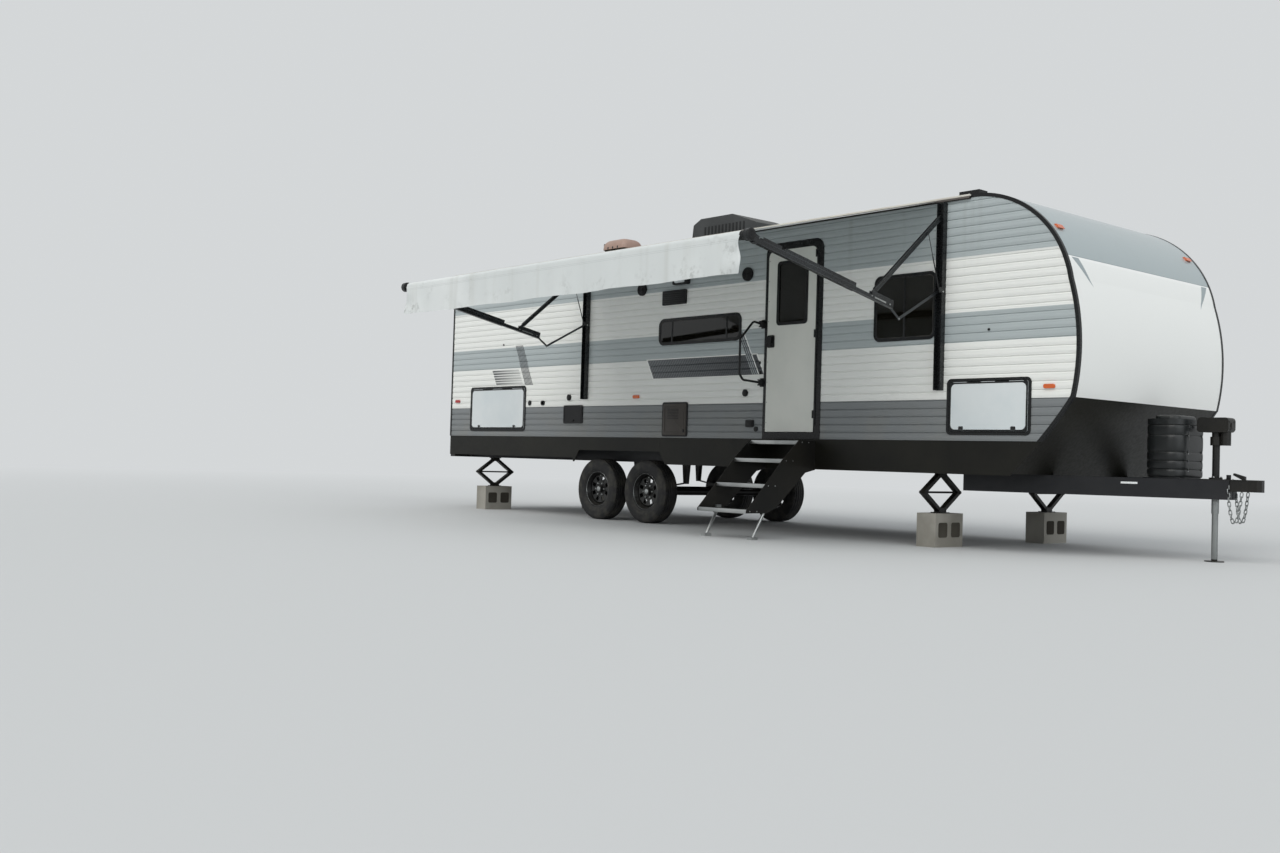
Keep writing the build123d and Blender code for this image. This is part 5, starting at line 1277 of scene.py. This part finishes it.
# profiles for the lathe: radius, and distance along its axis
DRUM_CAP = [(0, 0.0045), (0.010, 0.0045), (0.0115, 0.0030), (0.022, 0.0028), (0.024, 0.0042), (0.031, 0.0040),
            (0.038, 0.0026), (0.0435, 0.0005), (DRUM_RADIUS, -0.003), (DRUM_RADIUS, -0.008), (0.040, -0.009)]
DRUM_RING = [(DRUM_RADIUS - 0.003, -0.004), (DRUM_RADIUS + 0.0006, -0.0022), (DRUM_RADIUS + 0.0006, 0.0022),
             (DRUM_RADIUS - 0.003, 0.004)]
DRUM_BOLT = [(0, 0.0036), (0.0028, 0.0032), (0.0034, 0), (0, -0.001)]
COLLAR = [(0.0345, -0.010), (0.0375, -0.009), (0.0375, 0.006), (0.033, 0.010), (0.012, 0.012), (0.0, 0.012)]
ARM_BOLT = [(0, 0.0034), (0.0045, 0.0032), (0.0062, 0.0018), (0.0065, 0)]
KNEE_HEAD = [(0, 0.0009), (0.0075, 0.0008), (0.0085, 0)]
PIN_HEAD = [(0, 0.003), (0.006, 0.0028), (0.008, 0)]
# name: tilt, dark flanges, and painted highlight strips along the edges. A bar is its lane, start, end, low
# edge and high edge
ARM_SECTIONS = {
    "inner": (ARM_TILT, [((0.0125, 0.0155), -0.264, 0.020, -0.022, 0.014)],
              [((0.0154, 0.0160), -0.262, 0.020, 0.010, 0.014),
               ((0.0154, 0.0157), -0.262, 0.225, -0.025, -0.022),
               ((0.0154, 0.0157), -0.262, 0.225, -0.0535, -0.050)]),
    "outer": (ARM_TILT, [((0.0158, 0.0188), 0.230, 1.078, -0.019, 0.009),
                         ((0.0158, 0.0188), 1.122, 1.330, -0.019, 0.009)],
              [((0.0187, 0.0192), 0.232, 1.330, -0.021, -0.017),
               ((0.0187, 0.0192), 0.232, 1.330, -0.057, -0.053)]),
    "upper": (UPPER_TILT, [((0.0098, 0.0130), 0.040, UPPER_END, -0.0185, 0.0185)],
              [((0.0129, 0.0136), 0.040, UPPER_END, -0.0185, -0.0145),
               ((0.0129, 0.0136), 0.040, UPPER_END, 0.0145, 0.0185)]),
}
SLOT_BAR = ((0.0, 0.0007), -0.168, -0.020, -0.0375, -0.0265)


def arm_point(station, point):
    return at(station, -(HALF + point[0]), point[1])


def add_drums():
    for station, name in zip(ARM_STATIONS, ("rear", "front")):
        shape = bmesh.new()
        centre = arm_point(station, ROLLER_POINT)
        for way in (-1, 1):
            add_lathe(shape, DRUM_CAP, centre + Vector((way * DRUM_HALF, 0, 0)), (way, 0, 0), 40)
            for k in range(5):
                turn = math.radians(72 * k + 20)
                spot = Vector((way * (DRUM_HALF + 0.001), 0.026 * math.cos(turn), 0.026 * math.sin(turn)))
                add_lathe(shape, DRUM_BOLT, centre + spot, (way, 0, 0), 6)
        for away in (-0.020, 0.016):
            add_lathe(shape, DRUM_RING, centre + Vector((away, 0, 0)), (1, 0, 0), 48)
        finish_mesh(shape, f"roller_drum_{name}", "black moulding", "awning_outer_arms")
    shape = bmesh.new()
    for end, way in ((CLOTH_FROM, -1), (CLOTH_TO, 1)):
        add_lathe(shape, COLLAR, arm_point(end, ROLLER_POINT), (way, 0, 0), 40)
    finish_mesh(shape, "roller_collars", "black moulding", "awning_outer_arms")


def along_arm(along, across, tilt):
    """A point of the arms' plane, along an arm from the elbow and across it."""
    c, d = math.cos(tilt), math.sin(tilt)
    return (ELBOW[0] + along * c - across * d, ELBOW[1] + along * d + across * c)


def add_bar(shape, station, way, bar, tilt):
    """A straight bar on one side of an arm, between two lanes."""
    lane, start, end, low, high = bar
    corners = [along_arm(*spot, tilt) for spot in ((start, low), (end, low), (end, high), (start, high))]
    stations = sorted(station + way * x for x in lane)
    add_skin(shape, [[arm_point(s, corner) for corner in corners] for s in stations])


def add_arm_sections():
    """The arms' open channel sections, and lighter strips along their edges that are painted highlights."""
    for name, (tilt, *groups) in ARM_SECTIONS.items():
        shapes = bmesh.new(), bmesh.new()
        for station in ARM_STATIONS:
            for bars, shape in zip(groups, shapes):
                for bar in bars:
                    add_bar(shape, station, 1, bar, tilt)
                    add_bar(shape, station, -1, bar, tilt)
        # The edges objects are painted highlight strips in a lighter finish.
        for shape, part, finish in zip(shapes, ("flanges", "edges"), ("arm metal", "link metal")):
            finish_mesh(shape, f"{name}_arm_{part}", finish, f"awning_{name}_arms", smooth=False)


def add_arm_bolts():
    """Bolt heads and a bright slot on the inner arms, and the heads of the knee's and the wall's pins."""
    inner, links, wall = bmesh.new(), bmesh.new(), bmesh.new()
    for station in ARM_STATIONS:
        for way in (-1, 1):
            lane = station + way * 0.0155
            for along in (0.015, -0.2213):
                spot = arm_point(lane, along_arm(along, -0.030, ARM_TILT))
                add_lathe(inner, ARM_BOLT, spot, (way, 0, 0), 12)
            add_bar(inner, lane, way, SLOT_BAR, ARM_TILT)
        add_lathe(links, KNEE_HEAD, arm_point(station - 0.0199, KNEE), (1, 0, 0), 16)
        add_lathe(wall, PIN_HEAD, arm_point(station + 0.035, WALL_PIN), (1, 0, 0), 12)
    finish_mesh(inner, "inner_arm_bolts", "bright zinc", "awning_inner_arms")
    finish_mesh(links, "knee_rivet_heads", "bright zinc", "awning_lower_links")
    finish_mesh(wall, "wall_pin_heads", "bright zinc")


add_drums()
add_arm_sections()
add_arm_bolts()
print("roller drums of", DRUM_RADIUS, "m")

# %% [markdown]
# The gas cover and the tongue. The cover is a tub with swelling bands between grooves, a low lid
# and two straps with bolts. The jack has three nuts on its flange, a bright sleeve and small parts
# on its head. Safety chains hang in a loop on both sides of the coupler. A chain link is a bent
# tube, turned a quarter from one to the next, which reads better than a textured rope. The kerb
# beam of the tongue carries a plain white reflecting strip.

# %% Gas cover, jack and chains
GAS_MIDDLE = 9.106
GAS_HALF, GAS_DEPTH = 0.235, 0.156      # half its width, and half its length
GAS_FRONT = GAS_MIDDLE + GAS_DEPTH
GAS_FOOT, GAS_TOP = 0.668, 1.150
GROOVES = (0.674, 0.738, 0.808, 0.880, 1.018, 1.102)    # heights of the grooves round the tub
# share of the height between two grooves, and how far the band swells there
BULGE = ((0.0, 0.0005), (0.05, 0.0040), (0.14, 0.0066), (0.35, 0.0078), (0.65, 0.0078), (0.86, 0.0066),
         (0.95, 0.0040))
LID_LEVELS = [(0.0, -0.001), (0.0, 0.018), (0.004, 0.026), (0.012, 0.031), (0.030, 0.033)]   # inset, lift
JACK_STATION = 9.450
JACK_HEAD_FRONT = 9.575
JACK_SLEEVE = [(0.0241, 0.020), (0.0246, 0.022), (0.0246, 0.388), (0.0290, 0.389), (0.0290, 0.652),
               (0.0286, 0.653)]
# two corners of each small block on the jack, in yard metres
JACK_BLOCKS = [
    ((JACK_HEAD_FRONT - 0.004, -0.030, 1.060), (JACK_HEAD_FRONT + 0.002, 0.030, 1.092), 0.002),
    ((9.330, -0.030, 1.164), (9.375, 0.030, 1.170), 0.002),
    ((9.555, -0.045, 0.668), (9.585, -0.020, 0.705), 0.003),
]
HEAD_SCREW = [(0, 0.004), (0.006, 0.003), (0.007, 0)]
HEAD_CAP = [(0, 0.004), (0.018, 0.003), (0.022, 0)]
STRAP_BOLT = [(0, 0.0035), (0.005, 0.003), (0.0065, 0)]
NUT = [(0, 0.009), (0.007, 0.009), (0.009, 0.007), (0.009, 0), (0, 0)]
BEAM_TIP, BEAM_TILT = 9.590, math.radians(25)
BEAM_OUT = 0.005 + 0.060 / math.cos(BEAM_TILT)
REFLECTOR = (8.856, 8.972, 0.610, 0.626)      # from, to, low, high
CHAIN_PITCH = 0.034


def rounded_loop(centre, half_s, half_y, radius, height, across=0.0, steps=10):
    """Points of a level rounded rectangle."""
    outline = rounded_outline(2 * half_s, 2 * half_y, radius, steps)
    return [at(centre + x, across + y, height) for x, y in outline]


def grown_loop(grow, height):
    """The tub's outline at a height, grown outward."""
    return rounded_loop(GAS_MIDDLE, GAS_DEPTH + grow, GAS_HALF + grow, 0.11 + grow, height)


def add_gas_details():
    shape, bolts = bmesh.new(), bmesh.new()
    loops = []
    for low, high in zip(GROOVES, GROOVES[1:]):
        loops += [grown_loop(grow, low + (high - low) * share) for share, grow in BULGE]
    add_skin(shape, loops + [grown_loop(0.0005, GROOVES[-1])])
    add_tube(shape, grown_loop(0.0025, GAS_TOP - 0.004), 0.004, 6, True)
    add_skin(shape, [rounded_loop(GAS_MIDDLE, 0.105 - inset, 0.185 - inset, 0.07 - inset, GAS_TOP + lift)
                     for inset, lift in LID_LEVELS])
    for across in (-0.10, 0.135):
        add_block(shape, at(GAS_FRONT + 0.0005, across - 0.011, GAS_FOOT + 0.03),
                  at(GAS_FRONT + 0.0075, across + 0.011, GAS_TOP - 0.045), 0.002)
        for height in (0.724, 0.868, 1.014):
            add_lathe(bolts, STRAP_BOLT, at(GAS_FRONT + 0.0045, across, height), (1, 0, 0), 10)
    add_block(shape, at(GAS_FRONT, -0.045, GAS_TOP - 0.085),
              at(GAS_FRONT + 0.0075, 0.045, GAS_TOP - 0.050), 0.003)
    finish_mesh(shape, "gas_cover_details", "tub moulding")
    finish_mesh(bolts, "gas_strap_bolts", "bright zinc")


def chain_link(shape, centre, way, up, long_half=0.021, wide_half=0.011, wire_radius=0.0042):
    """One oval link in the plane of way and up."""
    way, up = Vector(way).normalized(), Vector(up).normalized()
    points = []
    for k in range(16):
        turn = 2 * math.pi * k / 16
        push = (long_half - wide_half) * (1 if math.cos(turn) > 0 else -1)
        along = wide_half * math.cos(turn) + push
        points.append(Vector(centre) + way * along + up * wide_half * math.sin(turn))
    add_tube(shape, points, wire_radius, 6, True)


def add_chain(shape, start, end, drop):
    """Links along a hanging curve."""
    path = []
    for k in range(121):
        share = k / 120
        path.append(start.lerp(end, share) - Vector((0, 0, drop * 4 * share * (1 - share))))
    spots = walk(path, CHAIN_PITCH)
    for k, (a, b) in enumerate(zip(spots, spots[1:])):
        way = (b - a).normalized()
        flat = way.cross(Vector((0, 0, 1))).normalized()
        chain_link(shape, (a + b) / 2, way, flat if k % 2 else way.cross(flat))
    return len(spots) - 1


def add_tongue_details():
    shape, dark = bmesh.new(), bmesh.new()
    for k in range(3):
        turn = math.radians(120 * k + 30)
        spot = at(JACK_STATION + 0.041 * math.cos(turn), 0.041 * math.sin(turn), 0.680)
        add_lathe(shape, NUT, spot, (0, 0, 1), 6)
    links = 0
    for side in (KERB, ROAD):
        links += add_chain(shape, at(9.575, side * 0.070, 0.640), at(9.690, side * 0.056, 0.590), 0.300)
        chain_link(shape, at(9.560, side * 0.066, 0.650), (0, 0, 1), (0, 1, 0), 0.02, 0.012, 0.005)
    add_lathe(shape, JACK_SLEEVE, at(JACK_STATION, 0, 0), (0, 0, 1), 48)
    for low, high, soft in JACK_BLOCKS:
        add_block(dark, at(*low), at(*high), soft)
    for across in (-0.040, 0.040):
        add_lathe(dark, HEAD_SCREW, at(JACK_HEAD_FRONT, across, 1.130), (1, 0, 0), 12)
    add_lathe(dark, HEAD_CAP, at(9.40, 0, 1.165), (0, 0, 1), 24)
    finish_mesh(shape, "tongue_hardware", "bright zinc")
    finish_mesh(dark, "jack_details", "black moulding")
    return links


def add_reflector():
    """A plain white strip on the outside of the kerb beam."""
    shape = bmesh.new()
    rear, front, low, high = REFLECTOR
    loops = []
    for proud in (-0.0005, 0.0012):
        spots = [(s, BEAM_OUT + proud + (BEAM_TIP - s) * math.tan(BEAM_TILT)) for s in (rear, front)]
        loops.append([at(s, -y, low) for s, y in spots] + [at(s, -y, high) for s, y in reversed(spots)])
    add_skin(shape, loops)
    finish_mesh(shape, "beam_reflector", "reflector", smooth=False)


add_gas_details()
add_reflector()
print("chain links:", add_tongue_details())

# %% [markdown]
# The steps and the blocks. Each tread wears a bright nosing along its front edge and rows of
# raised grip, and the side plates have their rivets. Each concrete block shows two cored holes,
# drawn as thin panels on both faces that paint the dark shade inside the holes, since a real hole
# would change the construction piece.

# %% Steps, stands and blocks
STEP_FROM, STEP_TO = 5.610, 6.240
# inner edge and outer edge, out from the siding, and the top's height
TREADS = [(-0.006, 0.220, 0.905), (0.232, 0.430, 0.730), (0.462, 0.660, 0.498), (0.692, 0.890, 0.268)]
GRIP_ALONG, GRIP_ACROSS = 0.0265, 0.022      # pitch of the grip's dots
BLOCK_STATIONS, BLOCK_MIDDLE, BLOCK_HALF = (0.520, 7.400), 0.860, 0.100
CORE = 0.130                                 # a core's width and height


def add_step_details():
    bright, grip, rivets = bmesh.new(), bmesh.new(), bmesh.new()
    left, right = STEP_FROM + 0.006, STEP_TO - 0.006
    for inner, outer, top in TREADS:
        y_out = -(HALF + outer)
        add_block(bright, at(left, y_out - 0.0025, top - 0.034), at(right, y_out + 0.001, top + 0.002), 0.001)
        add_block(bright, at(left, y_out - 0.0015, top), at(right, y_out + 0.030, top + 0.0022), 0.0008)
        for i in range(int((outer - inner - 0.05) / GRIP_ACROSS)):
            for j in range(22):
                station = STEP_FROM + 0.03 + GRIP_ALONG * j + (0.013 if i % 2 else 0)
                if station < STEP_TO - 0.015:
                    spot = at(station, y_out + 0.045 + GRIP_ACROSS * i, top)
                    add_lathe(grip, [(0, 0.0018), (0.003, 0.0015), (0.0042, 0)], spot, (0, 0, 1), 6)
        for station, way in ((STEP_FROM, -1), (STEP_TO, 1)):
            for y in (y_out + 0.04, y_out + 0.13):
                head = [(0, 0.0025), (0.005, 0.002), (0.006, 0), (0, -0.001)]
                add_lathe(rivets, head, at(station, y, top - 0.013), (way, 0, 0), 10)
    finish_mesh(bright, "step_nosings", "bright zinc")
    finish_mesh(grip, "step_grip", "step metal")
    finish_mesh(rivets, "step_rivets", "bright zinc")


def add_block_cores():
    shape = bmesh.new()
    for station in BLOCK_STATIONS:
        for side in (KERB, ROAD):
            for way in (-1, 1):
                for middle in (-0.093, 0.093):
                    spot = at(station + way * (BLOCK_HALF + 0.0006), side * BLOCK_MIDDLE + middle, 0.150)
                    add_plate(shape, rounded_outline(CORE, CORE, 0.02), spot, (0, way, 0), (0, 0, 1), 0.0012)
    finish_mesh(shape, "block_core_shadows", "core shadow", smooth=False)


add_step_details()
add_block_cores()
print("treads:", len(TREADS))

# %% [markdown]
# The roof is hidden from the ground, but the model is seen from all sides. The shroud gets louvred
# sides and seams, both vents get a curb and a rounded lid, and the membrane gets its sealant bead
# along the edges and round every fitting, and a row of lap seams. A pale gutter strip runs along
# each edge, above the awning's rail on the kerb side. A bevelled box would do for a lid, but a
# real one swells like a pillow, so it is a skin through loops that shrink as they rise.

# %% Roof details
AC_FROM, AC_TO, AC_HALF, AC_TOP = 3.520, 4.600, 0.340, 3.429
CROWN, CROWN_HALF = 0.060, 1.180
# the footprints that are sealed to the roof: from, to, and both edges across
FOOTPRINTS = [
    (AC_FROM, AC_TO, -AC_HALF, AC_HALF), (1.675, 2.145, -0.185, 0.185), (4.99, 5.41, -0.625, -0.215),
]
# middle station, middle across, half length, half width, base height, lid height, top
VENT_SIZES = [
    (1.910, 0.0, 0.215, 0.165, 3.052, 3.300, 3.422), (5.200, -0.420, 0.190, 0.185, 3.050, 3.100, 3.158),
]
SEAM_STATIONS = (1.2, 2.6, 4.9, 6.4)
LID_RIM = 0.02                           # height of a vent lid's upright rim


def roof_height(across):
    """The crowned roof's height at a distance from its middle, by the circle through its edges."""
    radius = (CROWN_HALF ** 2 + CROWN ** 2) / (2 * CROWN)
    return ROOF_EDGE + CROWN - radius + math.sqrt(max(radius ** 2 - across ** 2, 0))


def on_roof(station, across, lift):
    return at(station, across, roof_height(across) + lift)


def add_shroud_details():
    dark = bmesh.new()
    for side in (-1, 1):
        inner, outer = sorted((side * AC_HALF, side * (AC_HALF + 0.003)))
        for k in range(12):
            station = AC_FROM + 0.22 + 0.055 * k
            add_block(dark, at(station, inner, 3.16), at(station + 0.028, outer, 3.33), 0.001)
    for across in (-0.22, 0.0, 0.22):
        add_block(dark, at(AC_FROM + 0.20, across - 0.006, AC_TOP),
                  at(AC_TO - 0.46, across + 0.006, AC_TOP + 0.0018))
    finish_mesh(dark, "roof_shroud_louvres", "black moulding")


def add_sealant():
    """Beads round the fittings, lap seams across the roof and a bead along each edge."""
    shape = bmesh.new()
    for s0, s1, y0, y1 in FOOTPRINTS:
        corners = [Vector(corner) for corner in ((s0, y0), (s1, y0), (s1, y1), (s0, y1))]
        loop = [a.lerp(b, k / 8) for a, b in zip(corners, corners[1:] + corners[:1]) for k in range(8)]
        add_tube(shape, [on_roof(*spot, 0.002) for spot in loop], 0.009, 6, True)
    for station in SEAM_STATIONS:
        line = [-CROWN_HALF + CROWN_HALF * 2 * k / 24 for k in range(25)]
        add_tube(shape, [on_roof(station, across, 0.001) for across in line], 0.004, 6)
    for side in (-1, 1):
        line = [at(station, side * 1.188, ROOF_EDGE + 0.002) for station in (0.05, 2.0, 4.0, 6.0, 7.2)]
        add_tube(shape, line, 0.006, 6)
    finish_mesh(shape, "roof_sealant", "roof membrane")


def add_edge_strips():
    """The gutter strip on both sides, the awning rail's face in a grey-brown that paints the gutter's shade
    on it, and a thin dark line under it.
    """
    strip, line, band = bmesh.new(), bmesh.new(), bmesh.new()
    for side, proud in ((KERB, 0.0235), (ROAD, 0.0160)):
        inner, outer = sorted((side * (HALF - 0.012), side * (HALF + proud)))
        add_block(strip, at(0.03, inner, 2.9875), at(7.90, outer, 3.0045), 0.003)
    # A thin dark line under the rail's face.
    add_block(line, at(2.640, -(HALF + 0.020), 2.9655), at(7.90, -(HALF + 0.001), 2.9710), 0.001)
    # The rail's face, in a grey-brown that paints the gutter's shade on it.
    add_block(band, at(2.642, -(HALF + 0.0238), 2.9725), at(7.898, -(HALF + 0.0225), 2.9870))
    finish_mesh(strip, "roof_gutter_strips", "gutter strip")
    finish_mesh(line, "awning_rail_dark_line", "tyre rubber")
    finish_mesh(band, "awning_rail_face", "rail metal in gutter shade", smooth=False)


def dome_loops(middle, across, half_s, half_y, foot, top):
    """Loops of a pillow-shaped lid, from its rim to its crown."""
    loops = []
    for k in range(9):
        turn = math.pi / 2 * k / 8
        inset = 0.09 * (1 - math.cos(turn))
        height = foot + LID_RIM + (top - foot - LID_RIM) * math.sin(turn)
        loops.append(rounded_loop(middle, half_s - inset, half_y - inset, 0.06 - inset * 0.3, height,
                                  across, 6))
    return [[point - Vector((0, 0, LID_RIM)) for point in loops[0]]] + loops


def add_vents():
    curb, lid, hood = bmesh.new(), bmesh.new(), bmesh.new()
    for middle, across, half_s, half_y, foot, lid_foot, top in VENT_SIZES:
        # mesh, rear and front end from the middle, half width, low, high, and the bevel's values
        blocks = [(curb, -half_s - 0.02, half_s + 0.02, half_y + 0.02, foot - 0.002, foot + 0.022, 0.005),
                  (curb, -half_s + 0.03, half_s - 0.03, half_y - 0.03, foot, lid_foot + 0.01, 0.004)]
        for k in range(3):
            start = 0.09 * k - half_s * 0.45
            blocks.append((hood, start, start + 0.02, half_y + 0.003, lid_foot + 0.002, lid_foot + 0.03,
                           0.003))
        blocks.append((hood, -half_s - 0.003, -half_s * 0.55, half_y * 0.8, lid_foot - 0.004,
                       lid_foot + (top - lid_foot) * 0.70, 0.012, 3))
        for shape, rear, front, wide, low, high, *soft in blocks:
            corner = at(middle + rear, across - wide, low)
            add_block(shape, corner, at(middle + front, across + wide, high), *soft)
        add_skin(lid, dome_loops(middle, across, half_s, half_y, lid_foot, top))
    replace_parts(finish_mesh(lid, "roof_vent_lids", "vent plastic"), "roof_vents")
    finish_mesh(curb, "roof_vent_curbs", "black moulding")
    finish_mesh(hood, "roof_vent_hoods", "roof shroud")


add_shroud_details()
add_sealant()
add_edge_strips()
add_vents()
print("roof detailed, with", len(VENT_SIZES), "vents")
